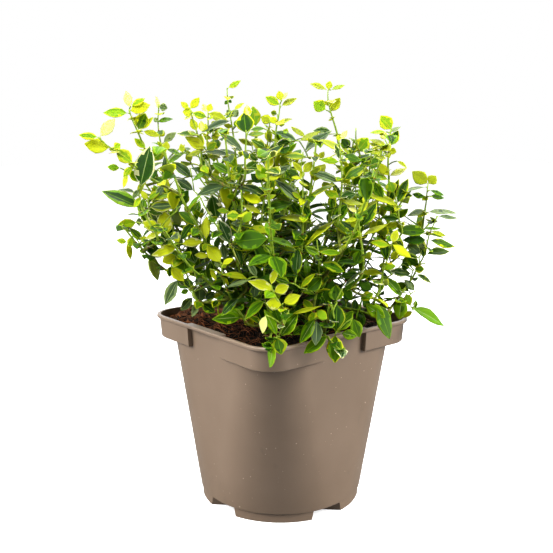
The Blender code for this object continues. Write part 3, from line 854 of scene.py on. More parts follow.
def pattern_for(gold, rule):
    """The pattern's name for how gold a leaf is, from 0 to 1 and over."""
    score = gold + rule.uniform(-0.15, 0.15)
    if score > 0.94:
        return "gold"
    if score > 0.80:
        return rule.choice(("lime", "lime", "gold", "olive"))
    if score > 0.56:
        return rule.choice(("cream", "green_gold", "lime", "olive", "green_gold"))
    if score > 0.36:
        return rule.choice(("green_gold", "cream", "green", "olive", "green", "fresh"))
    # The lowest scores, in low and inner sprays, give the dark shade pattern: painted shade
    if score > 0.14:
        return rule.choice(("green", "green", "fresh", "shade", "slate"))
    return "shade"


# %% [markdown]
# ## Leaves that the photograph shows clearly
# Some eighty leaves stand out in the photograph: the tips against the white, the gold
# sprays in front, the dark leaf with a cream edge at the upper left, and those that hang
# over the rim. They are set one by one, from the column and row of a leaf's stalk and of
# its tip, its width as it shows, its depth and its pattern. A negative width shows the
# underside. Trained side shoots carry them, drawn in the same way from their tips down, and
# a leaf that is still off every limb gets a twig of its own.

# %% The leaves of each pattern: stalk and tip as column and row, width, depth in millimetres
PORTRAIT_LEAVES = {
    "gold": (
        (110, 148, 86, 144, 13, -50), (127, 172, 123, 187, 3, -54), (129, 111, 149, 105, 11, 18),
        (190, 109, 199, 98, 6, -14), (203, 133, 206, 124, 5, -18), (205, 147, 186, 136, 8, -26),
        (208, 112, 211, 104, 5, 30), (270, 117, 277, 123, 5, 40), (266, 171, 272, 156, 7, -45),
        (265, 171, 257, 165, 5, -45), (269, 172, 272, 166, 4, -44), (303, 178, 292, 177, 2, -48),
        (303, 178, 301, 171, 4, -48), (263, 202, 244, 196, 8, -54), (166, 236, 164, 211, 15, -48),
        (160, 229, 143, 222, 10, -46), (149, 241, 140, 238, 5, -36), (178, 246, 153, 254, 10, -54),
        (181, 244, 202, 241, 8, -56), (179, 243, 174, 232, 7, -56), (176, 255, 163, 262, 11, -50),
        (171, 267, 183, 280, 10, -52), (209, 257, 195, 254, 5, -60), (221, 263, 208, 245, 12, -68),
        (222, 264, 233, 259, 4, -70), (275, 291, 250, 279, 9, -92), (271, 285, 276, 268, 6, -92),
        (274, 292, 288, 286, 10, -94), (282, 305, 267, 303, 12, -96), (283, 303, 299, 296, 10, -96),
        (358, 214, 367, 202, 5, -62), (392, 243, 397, 230, 7, -58), (392, 244, 410, 256, 7, -58),
    ),
    "pale": (
        (100, 137, 114, 119, 10, -48), (119, 150, 109, 149, 4, -50), (130, 108, 126, 91, 7, 24),
        (159, 110, 157, 96, 2, 46), (202, 132, 201, 121, 5, -18), (207, 112, 203, 104, 5, 30),
        (248, 118, 247, 105, 7, -20), (282, 100, 287, 92, 2, 5), (340, 140, 347, 130, 4, -45),
        (385, 140, 383, 132, 6, 10), (389, 176, 406, 168, 5, -16), (163, 232, 145, 237, 4, -48),
        (357, 213, 347, 203, 5, -62), (266, 315, 261, 333, 7, -104),
    ),
    "lime": (
        (114, 148, 120, 144, 6, -52), (133, 163, 117, 150, 12, -54), (132, 166, 124, 176, 5, -54),
        (141, 130, 152, 117, 3, 18), (143, 131, 159, 135, 5, 18), (160, 137, 164, 131, 4, 44),
        (165, 151, 167, 142, 6, 24), (183, 153, 181, 144, 4, 10), (167, 194, 165, 177, 5, -12),
        (189, 109, 181, 102, 4, -14), (193, 112, 183, 112, 8, -14), (197, 131, 191, 119, 6, -18),
        (205, 149, 189, 142, 6, -28), (207, 113, 227, 120, 7, 28), (212, 136, 226, 130, 5, 20),
        (224, 130, 229, 136, 3, 20), (212, 139, 219, 135, 4, 18), (228, 88, 240, 81, 4, -5),
        (234, 110, 243, 102, 2, 40), (281, 101, 279, 91, 6, 5), (277, 125, 291, 118, 2, 3),
        (283, 138, 287, 129, 6, -2), (306, 137, 292, 127, 3, 10), (328, 90, 330, 81, 5, 15),
        (331, 90, 344, 84, 2, 15), (345, 152, 322, 139, 4, -40), (339, 141, 338, 135, 3, -45),
        (319, 159, 314, 152, 2, 30), (392, 130, 381, 116, 12, -6), (386, 132, 371, 132, 2, -8),
        (383, 149, 370, 142, 3, -14), (389, 150, 396, 152, 5, -10), (384, 153, 365, 150, 3, -16),
        (389, 176, 378, 163, 7, -20), (397, 161, 407, 167, 2, -16), (264, 180, 280, 175, 3, -48),
        (303, 173, 293, 162, 4, -46), (303, 173, 312, 162, 7, -46), (303, 202, 333, 182, 4, -50),
        (301, 199, 293, 192, 3, -50), (264, 200, 275, 194, 3, -54), (262, 214, 244, 203, 4, -54),
        (148, 200, 141, 190, 4, -28), (141, 197, 134, 207, 4, -60), (137, 222, 118, 226, 9, -20),
        (133, 236, 129, 247, 6, -20), (128, 241, 131, 258, 4, -20), (127, 242, 117, 240, 4, -20),
        (206, 240, 206, 217, 8, -50), (207, 243, 203, 250, 5, -54), (221, 268, 227, 264, 3, -68),
        (210, 269, 216, 280, 3, -60), (222, 277, 229, 284, 3, -64), (300, 288, 314, 273, 5, -78),
        (364, 204, 366, 195, 4, -60), (358, 219, 345, 220, 3, -62), (361, 236, 386, 221, 4, -54),
        (305, 246, 333, 222, 3, -60), (431, 231, 446, 235, 3, -6),
    ),
    "bright": (
        (98, 137, 80, 135, 6, -50), (120, 168, 108, 167, 5, -56), (128, 113, 105, 113, 8, 18),
        (131, 106, 144, 98, 5, 20), (146, 149, 135, 138, 5, 14), (207, 117, 193, 113, 6, 28),
        (280, 105, 266, 97, 7, 5), (326, 110, 314, 102, 11, 12), (340, 162, 321, 159, 5, -45),
        (267, 178, 256, 170, 11, -48), (240, 215, 227, 216, 9, -66), (243, 223, 251, 212, 7, -66),
        (342, 253, 321, 252, 5, -62), (390, 246, 372, 241, 6, -58), (382, 267, 396, 266, 6, -50),
        (374, 293, 361, 299, 8, -58), (316, 310, 327, 319, 8, -88),
    ),
    "cream": (
        (194, 191, 177, 178, 8, -24), (140, 188, 149, 147, 19, -62), (199, 135, 178, 133, 4, -20),
        (203, 152, 230, 153, 4, -9), (244, 152, 219, 133, 7, -34), (277, 114, 271, 112, 4, 10),
        (266, 148, 252, 140, 9, -20), (250, 151, 272, 149, 3, -24), (258, 160, 250, 154, 6, -22),
        (244, 171, 258, 162, 8, -24), (149, 207, 174, 205, 10, -34), (146, 209, 162, 213, 6, -32),
        (168, 244, 149, 237, 8, -44), (281, 309, 289, 317, 7, -96), (419, 258, 404, 252, 4, -22),
        (416, 274, 431, 282, 3, -8), (412, 274, 391, 271, 7, -16),
    ),
    "green_gold": (
        (138, 130, 145, 114, 14, 16), (246, 134, 244, 113, 17, -45), (259, 163, 283, 145, 8, -40),
        (390, 146, 398, 131, 8, -12), (343, 181, 365, 163, 9, -55), (304, 205, 310, 219, 7, -46),
        (397, 204, 408, 180, 8, -22), (180, 241, 193, 221, 7, -52), (361, 227, 376, 203, 11, -56),
        (360, 234, 341, 221, 7, -58), (321, 263, 344, 270, 9, -64), (429, 240, 455, 244, 6, -8),
        (426, 254, 449, 249, 6, -8), (414, 269, 424, 269, 7, -14), (277, 337, 281, 353, 15, -116),
        (335, 334, 335, 360, 16, -88),
    ),
    "olive": (
        (163, 147, 153, 160, 11, 30), (206, 150, 216, 143, 7, -22), (211, 126, 216, 121, 3, 26),
        (203, 151, 188, 156, 4, -8), (207, 157, 220, 157, 3, -7), (233, 127, 224, 125, 3, -8),
        (234, 127, 238, 120, 3, -8), (238, 166, 224, 157, 11, -14), (256, 127, 253, 107, 11, 10),
        (247, 135, 264, 132, 4, -40), (272, 122, 261, 117, 8, 40), (281, 106, 296, 99, 4, 5),
        (308, 157, 285, 155, 5, -8), (299, 141, 319, 131, 5, -14), (327, 90, 311, 84, 3, 15),
        (330, 112, 340, 98, 8, 14), (322, 143, 335, 145, 2, -20), (357, 152, 368, 138, 14, 2),
        (319, 159, 324, 152, 4, 30), (384, 135, 379, 131, 3, -8), (388, 146, 371, 138, 3, -14),
        (389, 180, 367, 170, 6, -22), (389, 181, 393, 192, 10, -22), (222, 180, 209, 175, 6, -20),
        (226, 185, 205, 180, 4, -24), (340, 197, 325, 192, 7, -56), (338, 200, 362, 203, 3, -54),
        (398, 206, 370, 191, 6, -30), (148, 200, 160, 190, 5, -30), (153, 199, 170, 193, 4, -30),
        (214, 298, 222, 293, 4, -44), (271, 232, 253, 226, 6, -64), (229, 212, 218, 210, 4, -56),
        (311, 222, 282, 215, 6, -50), (248, 279, 224, 272, 5, -76), (248, 280, 231, 282, 7, -74),
        (350, 236, 335, 219, 5, -54), (358, 227, 351, 221, 6, -56), (361, 273, 381, 272, 5, -50),
        (428, 184, 413, 172, 12, 10), (428, 184, 436, 176, 9, 10), (398, 251, 391, 259, 6, -20),
        (399, 224, 386, 226, 4, -24), (406, 293, 410, 305, 7, -22), (413, 311, 403, 317, 4, -12),
        (289, 315, 320, 305, 3, -92),
    ),
    "green": (
        (250, 130, 264, 127, 3, -30), (343, 155, 361, 160, 6, -20), (300, 177, 287, 170, 7, -36),
        (302, 216, 290, 201, 9, -46), (383, 200, 374, 182, 9, -24), (395, 209, 383, 207, 5, -18),
        (262, 213, 291, 200, 11, -50), (141, 208, 104, 191, 13, -26), (172, 265, 169, 277, 6, -46),
        (184, 272, 185, 256, 20, -60), (150, 226, 141, 209, 6, -24), (177, 211, 199, 222, 8, -36),
        (189, 290, 181, 293, 4, -44), (202, 303, 214, 312, 9, -40), (209, 281, 210, 262, 8, -52),
        (233, 242, 266, 238, 20, -76), (333, 221, 347, 205, 10, -46), (361, 250, 356, 264, 11, -54),
        (361, 274, 341, 275, 6, -50), (425, 197, 413, 194, 4, 8), (430, 190, 443, 195, 2, 8),
        (430, 196, 444, 197, 4, 8), (427, 232, 398, 228, 10, -10), (416, 300, 415, 308, 3, -8),
        (337, 303, 336, 330, 16, -78), (336, 302, 336, 286, 14, -74), (337, 332, 352, 311, 12, -80),
        (353, 318, 359, 336, 11, -72), (328, 336, 304, 351, 11, -90), (292, 335, 307, 325, 7, -94),
        (307, 291, 321, 278, 12, -74), (265, 300, 246, 317, 9, -80), (376, 303, 393, 336, 14, -54),
    ),
    "fresh": (
        (157, 122, 172, 118, 3, 42), (166, 149, 181, 154, 3, 26), (166, 165, 184, 150, 4, 20),
        (232, 174, 213, 163, 7, -38), (238, 174, 257, 167, 5, -38), (234, 172, 236, 166, 4, -38),
        (208, 172, 192, 178, 3, -24), (391, 214, 397, 217, 4, -14), (143, 241, 131, 228, 6, -30),
        (263, 245, 271, 252, 5, -64), (297, 248, 268, 237, 4, -56), (290, 283, 275, 278, 7, -86),
        (319, 255, 306, 247, 7, -64), (402, 297, 399, 319, 13, -30), (403, 297, 385, 275, 7, -30),
        (411, 307, 445, 323, 11, -12), (277, 336, 266, 310, 9, -108), (280, 337, 297, 315, 12, -106),
        (273, 344, 270, 366, 7, -118), (315, 318, 301, 341, 11, -90), (341, 333, 356, 336, 9, -82),
        (365, 304, 384, 317, 12, -56), (243, 317, 214, 319, 12, -74), (243, 317, 230, 309, 7, -70),
    ),
    # Slate leaves: dark leaves whose bluish cast is partly a painted reflection of the sky
    "slate": (
        (192, 178, 173, 162, 8, -20), (202, 154, 208, 159, 4, -7), (231, 120, 204, 131, 4, -10),
        (297, 141, 276, 131, 5, -30), (291, 142, 277, 144, 7, -26), (303, 152, 329, 130, 7, -30),
        (331, 131, 314, 129, 5, -6), (335, 144, 339, 158, 4, -42), (374, 156, 365, 167, 5, 10),
        (270, 177, 290, 165, 5, -44), (341, 182, 312, 171, 8, -55), (217, 221, 212, 195, 15, -36),
        (302, 203, 277, 179, 9, -50), (340, 197, 355, 194, 8, -56), (156, 197, 163, 185, 5, -28),
        (188, 244, 195, 262, 13, -48), (158, 225, 148, 211, 7, -28), (191, 288, 184, 279, 5, -48),
        (200, 303, 199, 287, 14, -46), (205, 299, 214, 292, 6, -44), (230, 244, 219, 220, 13, -58),
        (225, 260, 223, 244, 8, -58), (296, 277, 297, 248, 11, -78), (257, 277, 249, 263, 5, -84),
        (254, 298, 255, 286, 9, -76), (421, 254, 408, 245, 9, -20), (239, 298, 220, 313, 8, -72),
        (247, 316, 257, 306, 7, -76),
    ),
    # Sage leaves: grey-green, partly the marbling and partly a painted sheen on dark leaves
    "sage": (
        (159, 106, 167, 108, 6, 46), (158, 122, 154, 118, 3, 42), (163, 143, 175, 132, 5, 38),
        (136, 193, 119, 188, 2, -56), (139, 189, 133, 198, 4, -58), (232, 117, 227, 110, 5, 40),
        (232, 117, 238, 110, 6, 40), (389, 132, 400, 126, 2, -8), (226, 186, 197, 192, 8, -32),
        (150, 253, 157, 278, 9, -32), (139, 226, 139, 218, 4, -20), (178, 279, 166, 303, 11, -34),
        (178, 280, 186, 285, 4, -30), (195, 286, 203, 273, 6, -48), (193, 297, 181, 310, 8, -40),
        (200, 302, 191, 316, 6, -38), (203, 288, 214, 282, 4, -48), (220, 268, 215, 262, 3, -68),
        (250, 280, 228, 285, 5, -80), (343, 288, 363, 269, 3, -70), (310, 224, 302, 230, 5, 10),
        (426, 187, 401, 189, 2, 10), (426, 210, 408, 214, 5, 6), (428, 212, 455, 211, 4, 6),
        (438, 216, 456, 218, 2, -4), (424, 251, 420, 243, 5, -12), (415, 291, 405, 280, 6, -18),
        (316, 320, 318, 345, 10, -92),
    ),
    # Leaves that lie dark in the crown, made all dark: painted shade
    "shade": (
        (165, 180, 151, 180, 4, -4), (158, 170, 150, 179, 3, 0), (213, 151, 240, 152, 2, 6),
        (228, 104, 225, 101, 3, -5), (229, 103, 231, 100, 2, -5), (279, 153, 290, 147, 5, -10),
        (350, 149, 342, 139, 8, 20), (383, 155, 370, 168, 8, -18), (262, 183, 251, 174, 7, -30),
        (190, 168, 208, 172, 3, -14), (160, 249, 143, 246, 8, -40), (147, 251, 161, 257, 4, -34),
        (176, 205, 188, 191, 10, -20), (303, 239, 321, 232, 8, -44), (427, 240, 404, 239, 8, -14),
        (419, 266, 407, 256, 8, -12), (409, 291, 398, 283, 8, -14), (401, 264, 409, 268, 7, -8),
        (400, 219, 383, 218, 4, -24), (344, 290, 356, 282, 9, -34), (372, 290, 360, 284, 9, -30),
        (352, 300, 344, 290, 9, -44), (362, 300, 370, 306, 7, -40),
    ),
}
# Side shoots: depth in millimetres, how gold, then columns and rows from the tip down
TRAINED_SHOOTS = (
    (-50, 0.80, ((98, 137), (104, 143), (112, 149), (121, 155), (134, 165), (150, 178))),
    (18, 0.80, ((129, 109), (132, 119), (137, 130), (144, 147), (150, 162), (158, 180))),
    (-58, 0.45, ((140, 188), (139, 196), (142, 208), (149, 222), (158, 240))),
    (44, 0.60, ((159, 104), (158, 122), (160, 140), (164, 155), (169, 175))),
    (-16, 0.75, ((190, 108), (193, 120), (197, 133), (201, 150), (204, 170))),
    (28, 0.70, ((208, 112), (208, 128), (207, 142), (209, 160), (213, 180))),
    (-6, 0.60, ((227, 89), (228, 103), (231, 120), (234, 140), (236, 160), (238, 185))),
    (-44, 0.50, ((246, 130), (246, 140), (245, 160), (244, 182))),
    (40, 0.60, ((270, 118), (269, 132), (267, 148), (265, 166))),
    (5, 0.75, ((280, 104), (279, 114), (276, 130), (275, 145), (274, 165))),
    (-46, 0.60, ((267, 172), (267, 186), (263, 205), (261, 225), (258, 250))),
    (-48, 0.60, ((303, 172), (303, 190), (303, 215), (302, 245), (299, 275))),
    (14, 0.75, ((328, 90), (328, 100), (331, 113), (337, 133), (340, 150))),
    (-48, 0.50, ((339, 141), (341, 160), (342, 182), (340, 205), (338, 230))),
    (-10, 0.60, ((391, 129), (389, 146), (388, 165), (389, 180), (388, 205))),
    (-24, 0.50, ((393, 190), (397, 205), (399, 220), (401, 235))),
    (8, 0.50, ((428, 184), (427, 192), (426, 204), (424, 215), (422, 230))),
    (-8, 0.45, ((437, 216), (433, 226), (429, 235), (427, 245), (424, 256), (417, 268), (411, 280))),
    (-20, 0.35, ((412, 308), (402, 297), (388, 300), (380, 304))),
    (-56, 0.50, ((392, 244), (388, 258), (383, 272), (379, 290), (374, 303))),
    (-54, 0.50, ((179, 244), (182, 256), (186, 272), (192, 288), (200, 302))),
    (-68, 0.50, ((221, 263), (223, 280), (228, 292), (233, 303), (243, 317), (250, 326))),
    (-50, 0.30, ((203, 204), (216, 225), (231, 246), (240, 271), (247, 288))),
    (-93, 0.40, ((271, 285), (274, 294), (281, 306), (287, 316))),
    (-106, 0.20, ((278, 337), (283, 326), (288, 314))),
    (-86, 0.20, ((336, 333), (334, 318), (330, 304))),
    (-60, 0.50, ((358, 213), (360, 235), (363, 255), (362, 275), (352, 290))),
    (-64, 0.40, ((241, 190), (242, 214), (240, 228), (234, 242))),
    (-62, 0.30, ((317, 240), (319, 262), (318, 285), (314, 305))),
    (-30, 0.50, ((148, 199), (149, 212), (156, 228))),
    (-46, 0.50, ((163, 233), (170, 243), (178, 258))),
)
STUB = (0, ((356, 128), (356, 141), (360, 158)))
CLEAR_SHARE = 0.42
CLEAR_DEPTH = 0.012

# %% Leaves kept clear to the camera
clear_spots = []
for rows in PORTRAIT_LEAVES.values():
    for stalk_column, stalk_row, tip_column, tip_row, width, depth in rows:
        size = math.hypot(tip_column - stalk_column, tip_row - stalk_row)
        middle = ((stalk_column + tip_column) / 2, (stalk_row + tip_row) / 2)
        clear_spots.append((*middle, max(4.0, size * CLEAR_SHARE), depth / 1000.0))


def hides_portrait(place):
    """Whether a leaf centred at a place would lie in front of, or on, one of the listed leaves."""
    column, row = photo_spot(place)
    depth = depth_of(place)
    for clear_column, clear_row, radius, clear_depth in clear_spots:
        if depth < clear_depth + CLEAR_DEPTH and math.hypot(column - clear_column, row - clear_row) < radius:
            return True
    return False


# %% A pair of leaves


def leaf_shape(size, rule):
    """Named shares of one leaf's form."""
    length = size * rule.uniform(*LEAF_LENGTH_DRAW)
    return {
        "length": length,
        "half_width": length * rule.uniform(*LEAF_HALF_SHARE),
        "fold": rule.uniform(0.08, 0.42),
        "curl": rule.uniform(-0.04, 0.34),
        "twist": rule.uniform(-0.35, 0.35),
        "ripple": rule.uniform(0.0, 0.07),
        "phase": rule.uniform(0.0, 6.28),
    }


def leaf_light(place, heading, rule):
    """The way a leaf turns its upper side: mostly up, a little out, and a stray of its own."""
    out = Vector((place.x, place.y, 0.0))
    stray = Vector((rule.uniform(-1, 1), rule.uniform(-1, 1), rule.uniform(-1, 1)))
    return UP * LIGHT_UP + out.normalized() * LIGHT_OUT + heading * LIGHT_ALONG + stray * LEAF_STRAY


THIN_LEAF_SHARE = 0.72
depth_rule = random.Random(SEED * 5)


def add_depth_leaf(leaves, place, away, gold):
    """A leaf that lies along the line of sight, so that it hardly shows in front but does from the side."""
    shape = leaf_shape(LEAF_LENGTH * THIN_LEAF_SHARE, depth_rule)
    sight = (place - EYE).normalized() * away
    stray = view_place(depth_rule.uniform(-0.30, 0.30), 0.0, depth_rule.uniform(-0.08, 0.12))
    towards = (sight + stray).normalized()
    rolled = UP + view_place(depth_rule.uniform(-0.7, 0.7), 0.0, 0.0)
    up = (rolled - towards * rolled.dot(towards)).normalized()
    points = leaf_points(place, towards, up, shape, depth_rule)
    slots = leaf_slots(pattern_for(gold, depth_rule), depth_rule)
    if not clear_of_pot(points[::5]):
        return 0
    leaves.add(points, LEAF_FACES, slots)
    return 1


def add_leaf_pair(collector, place, heading, turn, size, share, gold, rule):
    """Two leaves across from each other, turned to face the light."""
    first, second = side_axes(heading)
    made = 0
    for side in (0.0, 180.0):
        shape = leaf_shape(size, rule)
        spread = FOOT_LEAF_SPREAD + (TIP_LEAF_SPREAD - FOOT_LEAF_SPREAD) * share
        spread = math.radians(spread + rule.uniform(-SPREAD_JITTER, SPREAD_JITTER))
        sag = UP * (FOOT_LEAF_SAG * (1.0 - share) * rule.uniform(0.2, 1.2))
        light = leaf_light(place, heading, rule)
        slots = leaf_slots(pattern_for(gold, rule), rule)
        for swing in LEAF_SWINGS:
            angle = math.radians(turn + side + swing)
            outward = math.cos(angle) * first + math.sin(angle) * second
            towards = (math.sin(spread) * outward + math.cos(spread) * heading - sag).normalized()
            up = light - towards * light.dot(towards)
            if up.length < 0.05:
                up = towards.orthogonal()
            points = leaf_points(place, towards, up.normalized(), shape, rule)
            middle_line = [place + towards * shape["length"] * along for along in (0.25, 0.55, 0.85)]
            if fits(points[::5]) and not any(hides_portrait(spot) for spot in middle_line):
                collector.add(points, LEAF_FACES, slots)
                made += 1
                break
        else:
            made += add_depth_leaf(collector, place, 1.0 if side else -1.0, gold)
    return made


# %% Leaves and twigs of a limb


def leaf_places(total, start, internode, rule):
    """Distances of the nodes along a limb."""
    places = []
    distance = start
    while distance < total - internode * 0.35:
        places.append(distance)
        distance += internode * rule.uniform(0.88, 1.12)
    return places


def spray_gold(tip, rule):
    """How gold the leaves of a spray are: more at the top and the outside; low, inner sprays score low enough for
    the dark shade pattern, which is painted shade.
    """
    height = (tip.z - 0.19) / (REACH_HIGH[2] - 0.19)
    reach = math.hypot(tip.x, tip.y) / 0.15
    return -0.12 + 0.50 * height + 0.10 * reach + rule.uniform(-0.16, 0.16)


def dress_limb(leaves, path, nodes, size, gold_of, rule):
    """Pairs of leaves at the nodes of a limb and two small ones at its tip."""
    made = 0
    turn = rule.uniform(0.0, 90.0)
    total = path_length(path)
    for distance in nodes:
        place, heading = point_along(path, distance)
        share = distance / total
        scale = size * (1.0 - 0.22 * share)
        made += add_leaf_pair(leaves, place, heading, turn, scale, share, gold_of(share), rule)
        turn += 90.0 + rule.uniform(-12.0, 12.0)
    place, heading = point_along(path, total - 0.0006)
    made += add_leaf_pair(leaves, place, heading, turn, size * 0.64, 1.0, gold_of(1.0), rule)
    made += add_leaf_pair(leaves, place, heading, turn + 90.0, size * 0.36, 1.3, gold_of(1.05), rule)
    return made


def outermost(place):
    """Whether a place is near the reach of the solids, which the crown has to fill."""
    low = min(place.x - REACH_LOW[0], place.y - REACH_LOW[1])
    high = min(REACH_HIGH[0] - place.x, REACH_HIGH[1] - place.y)
    return min(low, high) < EDGE_BAND


def grow_twig(place, heading, side, length, foot_radius, level, leaves, limbs, rule):
    """A side twig with its leaves, and now and then a finer twig of its own."""
    first, second = side_axes(heading)
    angle = math.radians(side)
    outward = math.cos(angle) * first + math.sin(angle) * second
    lean = math.radians(rule.uniform(*TWIG_LEAN))
    start = math.sin(lean) * outward + math.cos(lean) * heading
    tilt = math.degrees(start.angle(UP))
    bearing = math.degrees(math.atan2(start.y, start.x)) - PLANT_TURN
    path = smooth_path(grow_path(place, bearing, tilt, tilt * TWIG_TILT_LEFT, length, rule))
    in_front = any(hides_portrait(spot) for spot in path[4:])
    if not fits(path[2:]) or (in_front and not outermost(path[-1])):
        return 0
    total = path_length(path)
    nodes = leaf_places(total, INTERNODE * 0.7, INTERNODE * 0.9, rule)
    add_limb(limbs, path, foot_radius, TWIG_TIP_RADIUS, nodes, 0.0, 0.2, 6, rule)
    base = spray_gold(path[-1], rule)
    made = dress_limb(leaves, path, nodes, LEAF_LENGTH * 0.9, lambda share: base + 0.24 * share**2, rule)
    if level < 2:
        for distance in nodes[1:]:
            if rule.random() < FINE_TWIG_CHANCE:
                spot, way = point_along(path, distance)
                fine = length * rule.uniform(0.4, 0.65)
                turn = rule.uniform(0.0, 360.0)
                made += grow_twig(spot, way, turn, fine, foot_radius * 0.8, level + 1, leaves, limbs, rule)
    return made


def trim_to_outline(curve):
    """Cut the end off a shoot that would stand out of the crown's outline."""
    kept = len(curve)
    while kept > len(curve) * 0.6 and not in_outline(curve[kept - 1]):
        kept -= 1
    return curve[:kept]


def grow_shoot(curve, stems, leaves, twigs, rule):
    """One main shoot from the root crown to its tip."""
    total = path_length(curve)
    nodes = leaf_places(total, total * LEAFY_FROM, INTERNODE, rule)
    add_limb(stems, curve, SHOOT_FOOT_RADIUS, SHOOT_TIP_RADIUS, nodes, 0.20, 0.50, 8, rule)
    base = spray_gold(curve[-1], rule)

    def gold_of(share):
        return base * (0.35 + 0.65 * share) + 0.22 * share**3

    made = dress_limb(leaves, curve, nodes, LEAF_LENGTH, gold_of, rule)
    side = rule.uniform(0.0, 360.0)
    for distance in nodes[:-2]:
        side += TWIG_TURN
        if rule.random() > TWIG_CHANCE:
            continue
        spot, way = point_along(curve, distance)
        share = distance / total
        draw = LONG_TWIG if rule.random() < LONG_TWIG_CHANCE * (1.3 - share) else SHORT_TWIG
        length = INTERNODE * rule.uniform(*draw) * (1.0 - 0.30 * share)
        made += grow_twig(spot, way, side, length, TWIG_FOOT_RADIUS, 1, leaves, twigs, rule)
    return made


# %% Trained shoots and the leaves set one by one
TRAINED_RADIUS = 0.0013
STALK_TWIG_RADIUS = 0.0006
TOUCHES = 0.0015
SOFT_TIP = 1.08
SOFT_EDGE = 1.0
LEAN_BACK = 0.75
LEAFY_UNTIL = 0.5
footholds = []


def find_foothold(target):
    """The place on a limb from which a twig can best reach a target: near, and lower."""
    def cost(spot):
        gap = (spot - target).length
        return gap + 1.2 * max(0.0, spot.z - target.z + 0.35 * gap)

    return min(footholds, key=cost)


def train_shoot(depth, gold, spots, leafy, leaves, limbs, rule):
    """A side shoot through places of the photograph, from a foothold on a grown limb."""
    spine = [photo_place(column, row, depth / 1000.0) for column, row in reversed(spots)]
    spine.insert(0, find_foothold(spine[0]))
    path = smooth_path(spine)
    total = path_length(path)
    nodes = leaf_places(total, INTERNODE * 0.6, INTERNODE * 0.9, rule)
    add_limb(limbs, path, TRAINED_RADIUS, TWIG_TIP_RADIUS, nodes, 0.0, 0.3, 6, rule)
    footholds.extend(path)
    made = 0
    for number, distance in enumerate(nodes):
        place, heading = point_along(path, distance)
        if leafy and distance < total * LEAFY_UNTIL:
            made += add_leaf_pair(leaves, place, heading, 90.0 * number, LEAF_LENGTH * 0.9, 0.4, gold, rule)
        elif leafy:
            made += add_depth_leaf(leaves, place, 1.0, gold + 0.15)
            made += add_depth_leaf(leaves, place, -1.0, gold + 0.15)
    return made


def add_portrait_leaf(pattern, sizes, leaves, limbs, rule):
    """One leaf from its row of sizes, with a short twig where no limb is near its stalk."""
    stalk_column, stalk_row, tip_column, tip_row, width, depth = sizes
    for nearer in range(12):
        away = (depth - 2.5 * nearer) / 1000.0
        stalk = photo_place(stalk_column, stalk_row, away)
        tip = photo_place(tip_column, tip_row, away)
        length = (tip - stalk).length * SOFT_TIP
        heading = (tip - stalk).normalized()
        shown = (abs(width) / 2 + SOFT_EDGE) * (CAMERA_DISTANCE + away) / FOCAL_PIXELS
        half_width = max(shown, length * 0.25)
        facing = shown / half_width * (1.0 if width > 0 else -1.0)
        across = heading.cross((EYE - stalk).normalized()).normalized()
        face = across.cross(heading)
        level = across if across.z > 0 else -across
        up = face * facing + level * math.sqrt(1.0 - facing**2)
        shape = leaf_shape(length, rule)
        shape["length"], shape["half_width"] = length, half_width
        shape["curl"] *= 0.5
        shape["twist"] *= 0.5
        points = leaf_points(stalk, heading, up, shape, rule)
        sight = (EYE - stalk).normalized() * LEAN_BACK
        points = [point + sight * (stalk.z - point.z) for point in points]
        if clear_of_pot(points):
            break
    leaves.add(points, LEAF_FACES, leaf_slots(pattern, rule, 0.0))
    if min((spot - stalk).length for spot in footholds) > TOUCHES:
        foot = find_foothold(stalk)
        bend = (foot + stalk) / 2 + UP * (foot - stalk).length * 0.08
        path = smooth_path([foot, bend, stalk])
        add_limb(limbs, path, STALK_TWIG_RADIUS, TWIG_TIP_RADIUS, [], 0.0, 0.1, 5, rule)
        footholds.extend(path)


# %% Grow every shoot
leaf_collectors = {ring[0]: Collector() for ring in RINGS}
leaf_collectors["portrait"] = Collector()
stems = Collector()
twigs = Collector()
leaf_count = 0
curves = []
for ring, place, path in shoots:
    curve = trim_to_outline(smooth_path(path))
    curves.append((ring, curve))
    footholds.extend(curve[2:])
rule = random.Random(SEED * 7)
for depth, gold, spots in TRAINED_SHOOTS:
    leaf_count += train_shoot(depth, gold, spots, True, leaf_collectors["portrait"], twigs, rule)
train_shoot(STUB[0], 0.0, STUB[1], False, leaf_collectors["portrait"], twigs, rule)
for pattern, rows in PORTRAIT_LEAVES.items():
    for sizes in rows:
        add_portrait_leaf(pattern, sizes, leaf_collectors["portrait"], twigs, rule)
        leaf_count += 1
for number, (ring, curve) in enumerate(curves):
    rule = random.Random(SEED * 1000 + number)
    leaf_count += grow_shoot(curve, stems, leaf_collectors[ring], twigs, rule)
print("leaves grown:", leaf_count)

# %% Make the pieces of the plant
stems_piece = stems.make("stems", LIMB_FINISHES)
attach(stems_piece, "root")
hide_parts(*[f"stem_{ring}_{place}" for ring, place, path in shoots])
twigs_piece = twigs.make("twigs", LIMB_FINISHES)
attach(twigs_piece, "root")
print("stems:", len(stems.faces), "faces; twigs:", len(twigs.faces), "faces")
for ring, collector in leaf_collectors.items():
    piece = collector.make(f"leaves_{ring}", leaf_finishes)
    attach(piece, "root")
    masses = [f"foliage_{name}_{place}" for name, place, path in shoots if name == ring]
    if masses:
        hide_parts(*masses)
    print(piece.name, "has", len(piece.data.polygons), "faces")

# %% [markdown]
# ## The nursery pot
# The real pot is one thin moulding: a body that goes from a rounded square at the top to a
# circle at the base, a deeper collar that stops at the middle of each side, a flat lip and
# four feet. It could be one long chain of extrusions, but a rounded square that turns into
# a circle is easier as flat plates whose corners are rounded by a vertex bevel and whose
# outlines are bridged. Blocks made that way are joined and hollowed with Boolean modifiers.

# %% Tools for modelling in edit mode
CORNER_STEPS = 20


def focus(thing):
    """Make one object the only one selected, and the active one."""
    bpy.ops.object.select_all(action="DESELECT")
    thing.select_set(True)
    bpy.context.view_layer.objects.active = thing


